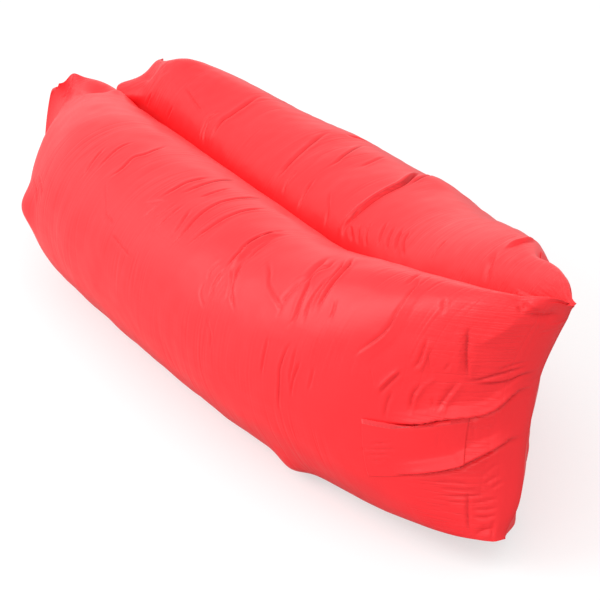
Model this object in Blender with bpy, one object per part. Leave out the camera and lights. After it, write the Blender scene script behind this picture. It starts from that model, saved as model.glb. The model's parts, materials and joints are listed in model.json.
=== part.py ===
# Inflatable air lounger: two air chambers side by side, joined along a centre seam. The head end
# (-X) is sewn shut. The mouth end (+X) turns in to an upright line, and behind it the mouth is
# rolled up and held by two straps with a side-release buckle. Z is up, the floor is at z = 0.

import math

import bmesh
import bpy
import numpy as np
from mathutils import Matrix, Vector

# Chambers, in metres
LENGTH = 2.10                # head end to mouth line
TUBE_WIDTH = 0.446           # one chamber across, where it is full
SHELL_WALL = 0.0005          # coated fabric
FILM_WALL = 0.0003           # liner film
FIT_GAP = 0.0003             # between pieces that touch
HEAD_TAPER_FRONT = 0.59      # how far from the head end the outer side starts to close
HEAD_TAPER_REAR = 1.10
HEAD_TAPER_INNER = 0.18
HEAD_SPREAD = 0.168          # from the centre seam to the middle of a closed head end
HEAD_END_WIDTH = 0.050       # blunt end of a chamber
HEAD_REACH = 0.60            # length over which the head end leans
HEAD_BOW = 0.063             # top and bottom of the head end stand in from its middle
HEAD_LEAN = 0.045            # the top stands in further than the bottom
HEAD_TUCK = 0.014            # the top of a head end leans towards the seam
MOUTH_TAPER_FRONT = 1.48
MOUTH_TAPER_REAR = 0.96
MOUTH_NECK = 0.008           # one chamber's neck, pressed flat at the mouth line
MOUTH_REACH = 0.78           # length over which the mouth end leans
MOUTH_BOW = 0.064            # top and bottom of the mouth line stand out from its middle
MOUTH_LEAN = 0.023           # the top stands out further than the bottom
MOUTH_TWIST_SHARE = 0.11     # sideways shift of the mouth line as a share of the height
DENT_DEPTH = 0.050           # the roll presses into the rear chamber

# Loft tables: places as shares of LENGTH, sizes as shares of TUBE_WIDTH
STATION_SHARES = (0.0, 0.14, 0.32, 0.5, 0.68, 0.86, 1.0)
UNDERSIDE_SHARES = (0.05, 0.012, 0.0, 0.0, 0.0, 0.065, 0.16)
FRONT_CREST_SHARES = (0.99, 1.04, 1.11, 1.10, 1.10, 1.25, 1.36)
REAR_CREST_SHARES = (1.03, 1.12, 1.055, 1.04, 1.08, 1.29, 1.385)
SEAM_SHARES = (-0.164, -0.029, 0.048, 0.151, 0.235, 0.296, 0.335)
DENT_SPAN_SHARES = (0.80, 0.90, 0.985)
MOUTH_FRONT_POWER_SHARES = (2.9, 0.515)  # how blunt the plan of each chamber closes
MOUTH_REAR_POWER_SHARES = (2.0, 1.0)
HEAD_FRONT_POWER_SHARES = (2.0, 2.0)
HEAD_REAR_POWER_SHARES = (2.0, 1.32)
HEAD_INNER_POWER_SHARES = (2.0, 0.9)
FLAT_SHARE = 0.95            # the underside is flat below this share of the half height
RINGS = 27
RING_SIDES = 20

# Seams and bindings
TAPE_WIDTH = 0.024
TAPE_THICKNESS = 0.0008
WEB_HEIGHT_SHARE = 0.86
BINDING_WIDTH = 0.016
BINDING_THICKNESS = 0.0016

# Side pocket
POCKET_CLOTH = 0.0008
POCKET_GAPE = 0.018          # how far the mouth of the pocket stands open
HEM_THICKNESS = 0.0016

# Mouth roll and its straps
COLLAR_THICKNESS = 0.0016
ROLL_WIDTH = 0.056
ROLL_THICKNESS = 0.022
ROLL_WALL = 0.0080
ROLL_SEAT = 0.0006           # under the roll
STRIP_WIDTH = 0.024
STRIP_THICKNESS = 0.0012
STRAP_WIDTH = 0.025
STRAP_THICKNESS = 0.0012
STRAP_LIFT = 0.0040          # the straps hang a little off the chamber
BUCKLE_GAP = 0.0025          # between the buckle and the roll
ROLL_SHARE = 0.9125          # where the roll lies, as a share of LENGTH
ROLL_END_SHARE = 1 / 6       # half of the roll, as a share of the way round the rear chamber
ROLL_SIDES = 14

# Buckle, in its own frame: X across the straps, Y out of the chamber, Z up along the straps
SOCKET_WIDTH = 0.033
SOCKET_THICKNESS = 0.011
SOCKET_HEIGHT = 0.042
SOCKET_WALL = 0.0018
CAVITY_WIDTH = 0.0272
CAVITY_DEPTH = 0.031
WINDOW_TOP = 0.016
WINDOW_BOTTOM = 0.0302
SLOT_HEIGHT = 0.0040
SLOT_WIDTH = 0.0262
BAR_HEIGHT = 0.0030
PLUG_HEIGHT = 0.014
GUIDE_WIDTH = 0.004
GUIDE_LENGTH = 0.020
PRONG_THICKNESS = 0.0034
PRONG_ROOT_GAP = 0.0006
PRONG_LENGTH = 0.0295
BARB_REACH = 0.0018
SLIDE_GAP = 0.0005           # plug and prongs inside the socket
PLUG_THICKNESS = SOCKET_THICKNESS - 2 * (SOCKET_WALL + SLIDE_GAP)
CUT_OVERRUN = 0.004

# Peg loop
LOOP_RADIUS = 0.012
LOOP_THICKNESS = 0.0014
LOOP_WIDTH = 0.020
LOOP_FOOT = 0.006
LOOP_SIDES = 10

STEP_SHARE = 1e-4            # of the length, for slopes

CENTRE_GAP = TAPE_THICKNESS + 2 * FIT_GAP
FRONT = {"sign": -1, "crest": FRONT_CREST_SHARES,
         "head_taper": HEAD_TAPER_FRONT, "head_power": HEAD_FRONT_POWER_SHARES,
         "mouth_taper": MOUTH_TAPER_FRONT, "mouth_power": MOUTH_FRONT_POWER_SHARES}
REAR = {"sign": 1, "crest": REAR_CREST_SHARES,
        "head_taper": HEAD_TAPER_REAR, "head_power": HEAD_REAR_POWER_SHARES,
        "mouth_taper": MOUTH_TAPER_REAR, "mouth_power": MOUTH_REAR_POWER_SHARES}
RING_SHARES = [0.5 * (1 - math.cos(math.pi * i / (RINGS - 1))) for i in range(RINGS)]


def clear_scene():
    for item in list(bpy.data.objects):
        bpy.data.objects.remove(item, do_unlink=True)


def clamp(value):
    return min(max(value, 0.0), 1.0)


def read_table(shares, share):
    # A smooth curve through the stations that never overshoots them.
    spots = STATION_SHARES
    i = min(max(sum(spot <= share for spot in spots) - 1, 0), len(spots) - 2)
    rises = [(b - a) / (q - p) for a, b, p, q in zip(shares, shares[1:], spots, spots[1:])]

    def slope(k):
        if k == 0 or k == len(rises):
            return rises[min(k, len(rises) - 1)]
        before, after = rises[k - 1], rises[k]
        return 2 * before * after / (before + after) if before * after > 0 else 0.0

    span = spots[i + 1] - spots[i]
    t = clamp((share - spots[i]) / span)
    start = (1 + 2 * t) * (1 - t) ** 2 * shares[i] + t * (1 - t) ** 2 * span * slope(i)
    end = t * t * (3 - 2 * t) * shares[i + 1] - t * t * (1 - t) * span * slope(i + 1)
    return start + end


def opening_up(run, taper, power):
    # 0 at a closed end and 1 where the chamber is full.
    return (1 - (1 - clamp(run / taper)) ** power[0]) ** power[1]


def heights(side, share):
    low = TUBE_WIDTH * read_table(UNDERSIDE_SHARES, share)
    crest = TUBE_WIDTH * read_table(side["crest"], share)
    half = (crest - low) / (1 + FLAT_SHARE)
    return low + FLAT_SHARE * half, half


def shared_heights(share):
    front, rear = heights(FRONT, share), heights(REAR, share)
    return (front[0] + rear[0]) / 2, (front[1] + rear[1]) / 2


def widths(side, share):
    # Distances of the inner and the outer side from the centre seam.
    from_head, from_mouth = share * LENGTH, (1 - share) * LENGTH
    edge = HEAD_SPREAD + HEAD_END_WIDTH / 2
    outer = edge + (TUBE_WIDTH - edge) * opening_up(from_head, side["head_taper"], side["head_power"])
    outer = MOUTH_NECK + (outer - MOUTH_NECK) * opening_up(
        from_mouth, side["mouth_taper"], side["mouth_power"])
    joined = opening_up(from_head, HEAD_TAPER_INNER, HEAD_INNER_POWER_SHARES)
    inner = (HEAD_SPREAD - HEAD_END_WIDTH / 2) * (1 - joined)
    return inner, outer


def dent(share):
    first, deepest, last = DENT_SPAN_SHARES
    reach = (deepest - first) if share < deepest else (last - deepest)
    return DENT_DEPTH * math.cos(math.pi / 2 * clamp(abs(share - deepest) / reach)) ** 2


def placed(share, across, z):
    # A point of the lounger from its share of the length, its distance from the seam and its height.
    middle, half = shared_heights(share)
    level = (z - middle) / half
    at_head = clamp(1 - share * LENGTH / HEAD_REACH) ** 2
    at_mouth = clamp(1 - (1 - share) * LENGTH / MOUTH_REACH) ** 2
    x = (share - 0.5) * LENGTH
    x += at_head * (HEAD_BOW * level ** 2 + HEAD_LEAN * level)
    x += at_mouth * (MOUTH_BOW * level ** 2 + MOUTH_LEAN * level)
    y = across + TUBE_WIDTH * read_table(SEAM_SHARES, share) + at_mouth * MOUTH_TWIST_SHARE * (z - middle)
    y -= math.copysign(at_head * HEAD_TUCK * level, across)
    return np.array((x, y, z))


def surface(side, share, angle):
    # The chamber's outer face: angle 0 is its outer side, a quarter turn is its crest.
    inner, outer = widths(side, share)
    centre, half = heights(side, share)
    lean = math.cos(angle)
    across = (outer + inner) / 2 + (outer - inner) / 2 * lean
    if side is REAR and lean > 0:
        across -= dent(share) * lean ** 4
    z = centre + half * max(math.sin(angle), -FLAT_SHARE)
    return placed(share, side["sign"] * (across + CENTRE_GAP / 2), z)


def spot(ring, step):
    # Number of a point in a chamber's grid.
    return ring * RING_SIDES + step % RING_SIDES


def two_triangles(a, b, c, d):
    # A quad a, b, c, d, always cut from a to c.
    return [(a, b, c), (a, c, d)]


def sleeve_faces(last_ring):
    # The sides of a sleeve and its closed head end.
    faces = []
    for i in range(last_ring):
        for k in range(RING_SIDES):
            faces += two_triangles(spot(i, k), spot(i + 1, k), spot(i + 1, k + 1), spot(i, k + 1))
    quarter = RING_SIDES // 4
    for k in range(2 - quarter, quarter - 1):
        mirror = RING_SIDES // 2 - k
        faces += two_triangles(spot(0, k), spot(0, k + 1), spot(0, mirror - 1), spot(0, mirror))
    faces.append((spot(0, quarter), spot(0, quarter + 1), spot(0, quarter - 1)))
    low_points = [1 - quarter, 2 - quarter, -2 - quarter, -1 - quarter]
    for k, following in zip(low_points, low_points[1:]):
        faces.append((spot(0, -quarter), spot(0, k), spot(0, following)))
    return faces


def chamber_grid(side):
    # Points of the outer face and their outward normals, longer where the face is sharply bent so
    # that a wall keeps its thickness there.
    if "points" not in side:
        points = np.array([surface(side, share, math.tau * k / RING_SIDES)
                           for share in RING_SHARES for k in range(RING_SIDES)])
        normals, shares = np.zeros_like(points), np.zeros((len(points), 1))
        for face in sleeve_faces(RINGS - 1):
            for a, b, c in (face, face[1:] + face[:1], face[2:] + face[:2]):
                first, second = points[b] - points[a], points[c] - points[a]
                cross = np.cross(first, second)
                size = np.linalg.norm(cross)
                share = math.atan2(size, first @ second)
                normals[a] += cross / size * share
                shares[a] += share
        normals /= shares
        normals = -side["sign"] * normals / np.sum(normals ** 2, axis=1)[:, None]
        side["points"], side["normals"] = points, normals
    return side["points"], side["normals"]


def facet_skin(side, share, angle, lift):
    # A point that stands off the faceted chamber by lift, so that what lies there is parallel to it.
    points, normals = chamber_grid(side)
    i = min(max(sum(start <= share for start in RING_SHARES) - 1, 0), RINGS - 2)
    turn = angle / math.tau * RING_SIDES
    k = math.floor(turn + STEP_SHARE)
    v = turn - k
    u = (share - RING_SHARES[i]) / (RING_SHARES[i + 1] - RING_SHARES[i])

    def corner(ring, step):
        return points[spot(ring, step)] + lift * normals[spot(ring, step)]

    start, far = corner(i, k), corner(i + 1, k + 1)
    if u >= v:
        turnpoint = corner(i + 1, k)
        return start + u * (turnpoint - start) + v * (far - turnpoint)
    turnpoint = corner(i, k + 1)
    return start + v * (turnpoint - start) + u * (far - turnpoint)


def material(name, colour, roughness, metallic=0.0):
    made = bpy.data.materials.get(name) or bpy.data.materials.new(name)
    made.use_nodes = True
    shader = made.node_tree.nodes["Principled BSDF"]
    shader.inputs["Base Color"].default_value = (*colour, 1)
    shader.inputs["Roughness"].default_value = roughness
    shader.inputs["Metallic"].default_value = metallic
    return made


def fabric():
    return material("coated_fabric", (0.95, 0.08, 0.10), 0.45)


def film():
    return material("liner_film", (0.80, 0.82, 0.84), 0.30)


def webbing():
    return material("webbing", (0.85, 0.06, 0.08), 0.75)


def plastic():
    return material("buckle_plastic", (0.03, 0.03, 0.03), 0.50)


def add_body(name, points, faces, look, smooth=True):
    mesh = bpy.data.meshes.new(name)
    mesh.from_pydata([tuple(float(c) for c in point) for point in points], [], faces)
    shape = bmesh.new()
    shape.from_mesh(mesh)
    bmesh.ops.recalc_face_normals(shape, faces=shape.faces)
    if shape.calc_volume(signed=True) < 0:
        bmesh.ops.reverse_faces(shape, faces=shape.faces)
    shape.to_mesh(mesh)
    shape.free()
    mesh.materials.append(look)
    if smooth:
        mesh.shade_smooth()
        mesh.set_sharp_from_angle(angle=math.radians(40))
    body = bpy.data.objects.new(name, mesh)
    bpy.context.collection.objects.link(body)
    return body


def add_sleeve(name, side, depths, last_ring, look):
    # A thin hollow sleeve, closed at the head end and open at its last ring.
    points, normals = chamber_grid(side)
    count = (last_ring + 1) * RING_SIDES
    walls = [points[:count] - depth * normals[:count] for depth in depths]
    faces = sleeve_faces(last_ring)
    faces += [tuple(count + corner for corner in face) for face in faces]
    for k in range(RING_SIDES):
        here, there = spot(last_ring, k), spot(last_ring, k + 1)
        faces += two_triangles(here, count + here, count + there, there)
    return add_body(name, np.concatenate(walls), faces, look)


def add_slab(name, low, high, look, keep=lambda row, column: True, smooth=True):
    # A closed body between two grids of points. keep says which cells of the grid are solid.
    rows, columns = len(low), len(low[0])
    points, index, faces = [], {}, []

    def at(level, row, column):
        key = (level, row, column)
        if key not in index:
            index[key] = len(points)
            points.append((low, high)[level][row][column])
        return index[key]

    def solid(row, column):
        inside = 0 <= row < rows - 1 and 0 <= column < columns - 1
        return inside and keep(row, column)

    for row in range(rows - 1):
        for column in range(columns - 1):
            if not solid(row, column):
                continue
            corners = [(row, column), (row + 1, column), (row + 1, column + 1), (row, column + 1)]
            for level in (0, 1):
                faces += two_triangles(*[at(level, *corner) for corner in corners])
            beyond = [(row, column - 1), (row + 1, column), (row, column + 1), (row - 1, column)]
            for k, neighbour in enumerate(beyond):
                if not solid(*neighbour):
                    a, b = corners[k], corners[(k + 1) % 4]
                    faces += two_triangles(at(0, *a), at(0, *b), at(1, *b), at(1, *a))
    return add_body(name, points, faces, look, smooth)


def steps_between(first, last, count):
    return [first + (last - first) * i / count for i in range(count + 1)]


def degrees(values):
    return [math.radians(value) for value in values]


def build_chambers():
    for name, side in (("front", FRONT), ("rear", REAR)):
        add_sleeve(name + "_chamber_shell", side, (0.0, SHELL_WALL), RINGS - 2, fabric())
        film_face = SHELL_WALL + FIT_GAP
        add_sleeve(name + "_bladder", side, (film_face, film_face + FILM_WALL), RINGS - 3, film())


def build_centre_tape():
    # It lies between the chambers at mid height, from the head end to near the mouth line.
    low, high = [], []
    for share in RING_SHARES:
        if not HEAD_TAPER_INNER / LENGTH < share <= RING_SHARES[-3]:
            continue
        middle = shared_heights(share)[0]
        heights_here = (middle - TAPE_WIDTH / 2, middle + TAPE_WIDTH / 2)
        low.append([placed(share, -TAPE_THICKNESS / 2, z) for z in heights_here])
        high.append([placed(share, TAPE_THICKNESS / 2, z) for z in heights_here])
    add_slab("centre_seam_tape", low, high, webbing(), smooth=False)


def head_line(side, steps):
    # Middle of a chamber's blunt head end, at ring sides that count up from mid height.
    line = []
    for k in steps:
        angle = math.tau * k / RING_SIDES
        line.append((surface(side, 0, angle) + surface(side, 0, math.pi - angle)) / 2)
    return line


def build_head_bindings():
    reach = range(-3, 4)
    for name, side in (("front", FRONT), ("rear", REAR)):
        low, high = [], []
        for point in head_line(side, reach):
            face = point - np.array((FIT_GAP, 0, 0))
            outside = face - np.array((BINDING_THICKNESS, 0, 0))
            half = np.array((0, BINDING_WIDTH / 2, 0))
            low.append([face - half, face + half])
            high.append([outside - half, outside + half])
        add_slab("head_seam_binding_" + name, low, high, webbing(), smooth=False)


def build_peg_loop():
    # An arch of webbing whose feet are sewn to the front head seam.
    first, last = head_line(FRONT, (-2, -1))
    rise = (last - first) / np.linalg.norm(last - first)
    out = np.array((-rise[2], 0, rise[0]))
    out /= np.linalg.norm(out)
    seat = (first + last) / 2 + out * (2 * FIT_GAP + BINDING_THICKNESS)
    centre = seat + out * LOOP_THICKNESS / 2
    half = np.array((0, LOOP_WIDTH / 2, 0))
    # Middle line of the webbing along and away from the seam, and the way that its outer face looks.
    spine = [(-LOOP_RADIUS - LOOP_FOOT, 0.0, out), (-LOOP_RADIUS, 0.0, out - rise)]
    for i in range(1, LOOP_SIDES):
        turn = math.pi * i / LOOP_SIDES
        along, away = -math.cos(turn), math.sin(turn)
        spine.append((along * LOOP_RADIUS, away * LOOP_RADIUS, rise * along + out * away))
    spine += [(LOOP_RADIUS, 0.0, out + rise), (LOOP_RADIUS + LOOP_FOOT, 0.0, out)]
    low, high = [], []
    for along, away, face in spine:
        point = centre + rise * along + out * away
        offset = face * LOOP_THICKNESS / 2
        low.append([point - offset - half, point - offset + half])
        high.append([point + offset - half, point + offset + half])
    add_slab("peg_loop", low, high, webbing(), smooth=False)


def build_seam_end_web():
    # Where the centre seam ends, a web of fabric joins the chambers up to near their crests.
    low, high = [], []
    for share in RING_SHARES[-5:-1]:
        middle, half = shared_heights(share)
        zs = steps_between(middle + TAPE_WIDTH, middle + half * WEB_HEIGHT_SHARE, 4)
        low.append([placed(share, -TAPE_THICKNESS / 2, z) for z in zs])
        high.append([placed(share, TAPE_THICKNESS / 2, z) for z in zs])
    add_slab("seam_end_web", low, high, fabric(), smooth=False)


def pocket_lines():
    shares = []
    for start, end in zip(RING_SHARES[-6:-3], RING_SHARES[-5:-2]):
        shares += steps_between(start, end, 3)[:-1]
    return shares + [RING_SHARES[-3]], degrees((-36, -30, -24, -18, -12, -7.5, -3, 0))


def pocket_lift(shares, angles, share, angle):
    across = (share - shares[0]) / (shares[-1] - shares[0])
    up = (angle - angles[0]) / (angles[-1] - angles[0])
    return POCKET_GAPE * math.sin(math.pi * across) ** 0.8 * math.sin(math.pi / 2 * up) ** 1.5


def build_pocket():
    shares, angles = pocket_lines()

    def face(rows, lift):
        grid = []
        for angle in rows:
            lifts = [lift + pocket_lift(shares, angles, share, angle) for share in shares]
            grid.append([facet_skin(FRONT, share, angle, off) for share, off in zip(shares, lifts)])
        return grid

    add_slab("side_pocket", face(angles, FIT_GAP), face(angles, FIT_GAP + POCKET_CLOTH), fabric())
    rim = angles[-3:]
    seat = POCKET_CLOTH + 2 * FIT_GAP
    add_slab("pocket_hem", face(rim, seat), face(rim, seat + HEM_THICKNESS), webbing())


def build_collar():
    # The pressed mouth of both chambers: it runs from the roll along the rear chamber, round the
    # mouth line and over the front chamber's end. Half steps of the chambers' own grid keep it
    # parallel to their faces.
    shares = [(RING_SHARES[-6] + RING_SHARES[-5]) / 2]
    for start, end in zip(RING_SHARES[-5:-1], RING_SHARES[-4:]):
        shares += [start, (start + end) / 2]
    faces = []
    for lift in (FIT_GAP, FIT_GAP + COLLAR_THICKNESS):
        rows = []
        for angle in degrees(range(-72, 73, 9)):
            row = [facet_skin(REAR, share, angle, lift) for share in shares + [1.0]]
            row += [facet_skin(FRONT, share, angle, lift) for share in (1.0, shares[-1], shares[-2])]
            rows.append(row)
        faces.append(rows)
    add_slab("mouth_collar", faces[0], faces[1], fabric())


def half_share(width):
    # Half of a width along the rear chamber's flank, as a share of LENGTH.
    run = np.linalg.norm(surface(REAR, ROLL_SHARE + STEP_SHARE, 0) - surface(REAR, ROLL_SHARE, 0))
    return width / 2 * STEP_SHARE / run


def strap_share():
    # The straps and the buckle run beside the roll.
    return ROLL_SHARE - half_share(ROLL_WIDTH + 2 * BUCKLE_GAP + SOCKET_WIDTH)


def roll_angles():
    end = math.tau * ROLL_END_SHARE
    return [-end] + degrees(range(-54, 55, 9)) + [end]


def build_roll():
    middle = ROLL_SEAT + ROLL_THICKNESS / 2
    points, faces = [], []
    angles = roll_angles()
    for inset in (0.0, ROLL_WALL):
        half_width = half_share(ROLL_WIDTH - 2 * inset)
        half_lift = ROLL_THICKNESS / 2 - inset
        for angle in angles:
            for k in range(ROLL_SIDES):
                turn = math.tau * k / ROLL_SIDES
                share = ROLL_SHARE + half_width * math.cos(turn)
                points.append(facet_skin(REAR, share, angle, middle + half_lift * math.sin(turn)))
    rows = len(angles)

    def at(wall, row, k):
        return (wall * rows + row) * ROLL_SIDES + k % ROLL_SIDES

    for k in range(ROLL_SIDES):
        for wall in (0, 1):
            for row in range(rows - 1):
                faces += two_triangles(at(wall, row, k), at(wall, row + 1, k),
                                       at(wall, row + 1, k + 1), at(wall, row, k + 1))
        for row in (0, rows - 1):
            faces += two_triangles(at(0, row, k), at(1, row, k), at(1, row, k + 1), at(0, row, k + 1))
    add_body("mouth_roll", points, faces, fabric())


def build_stiffeners():
    # Two flat plastic strips, one in each lip of the mouth, lie on each other in the roll's core.
    core_half = ROLL_THICKNESS / 2 - ROLL_WALL
    fit = STRIP_WIDTH / (ROLL_WIDTH - 2 * ROLL_WALL)
    floor = ROLL_SEAT + ROLL_WALL + core_half * (1 - math.sqrt(1 - fit ** 2)) + 2 * FIT_GAP
    half = half_share(STRIP_WIDTH)
    for name in ("stiffener_strip_inner", "stiffener_strip_outer"):
        faces = []
        for lift in (floor, floor + STRIP_THICKNESS):
            faces.append([[facet_skin(REAR, share, angle, lift) for share in
                           (ROLL_SHARE - half, ROLL_SHARE, ROLL_SHARE + half)] for angle in roll_angles()])
        add_slab(name, faces[0], faces[1], plastic(), smooth=False)
        floor += STRIP_THICKNESS + FIT_GAP


def buckle_matrix():
    # The buckle lies on the rear chamber's flank at mid height, beside the roll.
    def at(share, angle):
        return facet_skin(REAR, share, angle, 0.0)

    share, half = strap_share(), half_share(STRAP_WIDTH)
    across = at(share + half, 0) - at(share - half, 0)
    across /= np.linalg.norm(across)
    up = at(share, math.radians(9)) - at(share, math.radians(-9))
    up -= across * np.dot(up, across)
    up /= np.linalg.norm(up)
    out = np.cross(up, across)
    lift = SOCKET_THICKNESS / 2 + STRAP_THICKNESS + STRAP_LIFT
    middle = (SOCKET_HEIGHT - PLUG_HEIGHT) / 2
    origin = at(share, 0) + out * lift + up * middle
    matrix = Matrix.Identity(4)
    for column, axis in enumerate((across, out, up, origin)):
        for row in range(3):
            matrix[row][column] = float(axis[row])
    return matrix


def strap_end(end, frame):
    # Rows of a strap that goes under the bar, out through the slot, back over the bar and is sewn to
    # itself. end is +1 at the plug and -1 at the socket.
    face, thick = (PLUG_HEIGHT + FIT_GAP, PLUG_THICKNESS) if end > 0 else (SOCKET_HEIGHT, SOCKET_THICKNESS)
    half = STRAP_THICKNESS / 2
    under = thick / 2 + FIT_GAP + half
    slot = face - BAR_HEIGHT - SLOT_HEIGHT / 2
    bend = BAR_HEIGHT / 3
    sewn = face + 4 * BAR_HEIGHT
    second = 2 * half + FIT_GAP - under
    path = [(sewn + 2 * SLOT_HEIGHT, -under), (sewn, -under), (face, -under), (slot + bend, -under),
            (slot, bend - under), (slot, under - bend), (slot + bend, under), (face + bend, under),
            (sewn - bend, second), (sewn + SLOT_HEIGHT, second)]
    low, high = [], []
    for i, place in enumerate(path):
        nearby = (path[max(i - 1, 0)], place, path[min(i + 1, len(path) - 1)])
        steps = [Vector(b) - Vector(a) for a, b in zip(nearby, nearby[1:]) if a != b]
        normals = [Vector((-step.y, step.x)).normalized() for step in steps]
        normal = sum(normals, Vector((0, 0))).normalized()
        offset = normal * half / normal.dot(normals[0])
        for rows, way in ((low, 1), (high, -1)):
            corner = Vector(place) + offset * way
            rows.append([np.array(frame @ Vector((x, corner.y, end * corner.x)))
                         for x in (-STRAP_WIDTH / 2, STRAP_WIDTH / 2)])
    return low, high


def build_straps(frame):
    # Each strap is sewn round one end of the roll and runs from there to the buckle.
    half = half_share(STRAP_WIDTH)
    roll_half = half_share(ROLL_WIDTH)
    columns = [strap_share() - half, strap_share() + half, ROLL_SHARE - roll_half]
    columns += [share for share in RING_SHARES if columns[-1] < share < ROLL_SHARE + roll_half]
    columns.append(ROLL_SHARE + roll_half)
    band = [math.tau * ROLL_END_SHARE + beyond for beyond in degrees((11, 6, 1))]
    for name, end in (("roll_strap_upper", 1), ("roll_strap_lower", -1)):
        low, high = [], []
        for angle in band + degrees((54, 45, 36, 27, 18)):
            top = STRAP_LIFT + STRAP_THICKNESS
            low.append([facet_skin(REAR, share, end * angle, STRAP_LIFT) for share in columns])
            high.append([facet_skin(REAR, share, end * angle, top) for share in columns])
        for rows, ends in zip((low, high), strap_end(end, frame)):
            rows += [list(pair) + [pair[1]] * (len(columns) - 2) for pair in ends]
        add_slab(name, low, high, webbing(), smooth=False,
                 keep=lambda row, column: column == 0 or row < len(band) - 1)


def add_box(name, low, high, look, parent):
    middle = [(a + b) / 2 for a, b in zip(low, high)]
    mesh = bpy.data.meshes.new(name)
    shape = bmesh.new()
    bmesh.ops.create_cube(shape, size=1)
    bmesh.ops.scale(shape, vec=[b - a for a, b in zip(low, high)], verts=shape.verts)
    bmesh.ops.translate(shape, vec=middle, verts=shape.verts)
    shape.to_mesh(mesh)
    shape.free()
    mesh.materials.append(look)
    body = bpy.data.objects.new(name, mesh)
    bpy.context.collection.objects.link(body)
    body.parent = parent
    return body


def cut(body, name, low, high, parent):
    cutter = add_box(name, low, high, plastic(), parent)
    cutter.hide_render = True
    cutter.display_type = "WIRE"
    step = body.modifiers.new(name, "BOOLEAN")
    step.operation = "DIFFERENCE"
    step.solver = "EXACT"
    step.object = cutter


def build_socket(parent):
    wide, thick = SOCKET_WIDTH / 2, SOCKET_THICKNESS / 2
    inside = thick - SOCKET_WALL
    body = add_box("buckle_socket", (-wide, -thick, -SOCKET_HEIGHT), (wide, thick, 0), plastic(), parent)
    cut(body, "socket_cavity", (-CAVITY_WIDTH / 2, -inside, -CAVITY_DEPTH),
        (CAVITY_WIDTH / 2, inside, CUT_OVERRUN), parent)
    cut(body, "socket_windows", (-wide - CUT_OVERRUN, -inside, -WINDOW_BOTTOM),
        (wide + CUT_OVERRUN, inside, -WINDOW_TOP), parent)
    slot = -SOCKET_HEIGHT + BAR_HEIGHT
    cut(body, "socket_slot", (-SLOT_WIDTH / 2, -thick - CUT_OVERRUN, slot),
        (SLOT_WIDTH / 2, thick + CUT_OVERRUN, slot + SLOT_HEIGHT), parent)


def add_plate(name, outline, half_thickness, look, parent, origin=(0, 0, 0)):
    # An outline in the buckle's X-Z plane, made as thick as twice half_thickness.
    shape = bmesh.new()
    corners = [shape.verts.new((x - origin[0], -half_thickness, z - origin[2])) for x, z in outline]
    face = shape.faces.new(corners)
    grown = bmesh.ops.extrude_face_region(shape, geom=[face])
    moved = [item for item in grown["geom"] if isinstance(item, bmesh.types.BMVert)]
    bmesh.ops.translate(shape, vec=(0, 2 * half_thickness, 0), verts=moved)
    bmesh.ops.recalc_face_normals(shape, faces=shape.faces)
    mesh = bpy.data.meshes.new(name)
    shape.to_mesh(mesh)
    shape.free()
    mesh.materials.append(look)
    body = bpy.data.objects.new(name, mesh)
    body.location = origin
    bpy.context.collection.objects.link(body)
    body.parent = parent
    return body


def build_plug(parent):
    wide = SOCKET_WIDTH / 2
    half = PLUG_THICKNESS / 2
    guide = GUIDE_WIDTH / 2
    top = FIT_GAP + PLUG_HEIGHT
    outline = [(-guide, -GUIDE_LENGTH), (guide, -GUIDE_LENGTH), (guide, FIT_GAP), (wide, FIT_GAP),
               (wide, top), (-wide, top), (-wide, FIT_GAP), (-guide, FIT_GAP)]
    body = add_plate("buckle_plug", outline, half, plastic(), parent)
    slot = top - BAR_HEIGHT - SLOT_HEIGHT
    cut(body, "plug_slot", (-SLOT_WIDTH / 2, -half - CUT_OVERRUN, slot),
        (SLOT_WIDTH / 2, half + CUT_OVERRUN, slot + SLOT_HEIGHT), parent)

    # The two prongs bend towards each other about their roots.
    face = CAVITY_WIDTH / 2 - SLIDE_GAP
    back = face - PRONG_THICKNESS
    barb = CAVITY_WIDTH / 2 + BARB_REACH
    shoulder = -WINDOW_TOP - FIT_GAP
    root = FIT_GAP - PRONG_ROOT_GAP
    ramp = -PRONG_LENGTH + BARB_REACH
    pivot = (face + back) / 2
    for name, way in (("prong_left", -1), ("prong_right", 1)):
        outline = [(back, root), (face, root), (face, shoulder), (barb, shoulder), (barb, ramp),
                   (face, -PRONG_LENGTH), (back, -PRONG_LENGTH)]
        outline = [(way * x, z) for x, z in outline]
        origin = (way * pivot, 0, root - PRONG_THICKNESS / 2)
        add_plate(name, outline, half, plastic(), parent, origin)


def centre_over_origin():
    # The origin is the middle of the lounger's footprint box, on the floor.
    bpy.context.view_layer.update()
    corners = []
    for item in bpy.data.objects:
        if item.type == "MESH" and not item.hide_render:
            corners += [item.matrix_world @ vertex.co for vertex in item.data.vertices]
    holder = bpy.data.objects.new("lounger", None)
    bpy.context.collection.objects.link(holder)
    for item in list(bpy.data.objects):
        if item is not holder and item.parent is None:
            item.parent = holder
    for axis in (0, 1):
        low = min(corner[axis] for corner in corners)
        high = max(corner[axis] for corner in corners)
        holder.location[axis] = -(low + high) / 2


def build_lounger():
    clear_scene()
    build_chambers()
    build_centre_tape()
    build_head_bindings()
    build_peg_loop()
    build_seam_end_web()
    build_pocket()
    build_collar()
    build_roll()
    build_stiffeners()
    frame = buckle_matrix()
    build_straps(frame)
    buckle = bpy.data.objects.new("buckle", None)
    buckle.matrix_world = frame
    bpy.context.collection.objects.link(buckle)
    build_socket(buckle)
    build_plug(buckle)
    centre_over_origin()


build_lounger()
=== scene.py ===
import json
import math

import bpy
import numpy as np
from mathutils import Matrix, Vector


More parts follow.
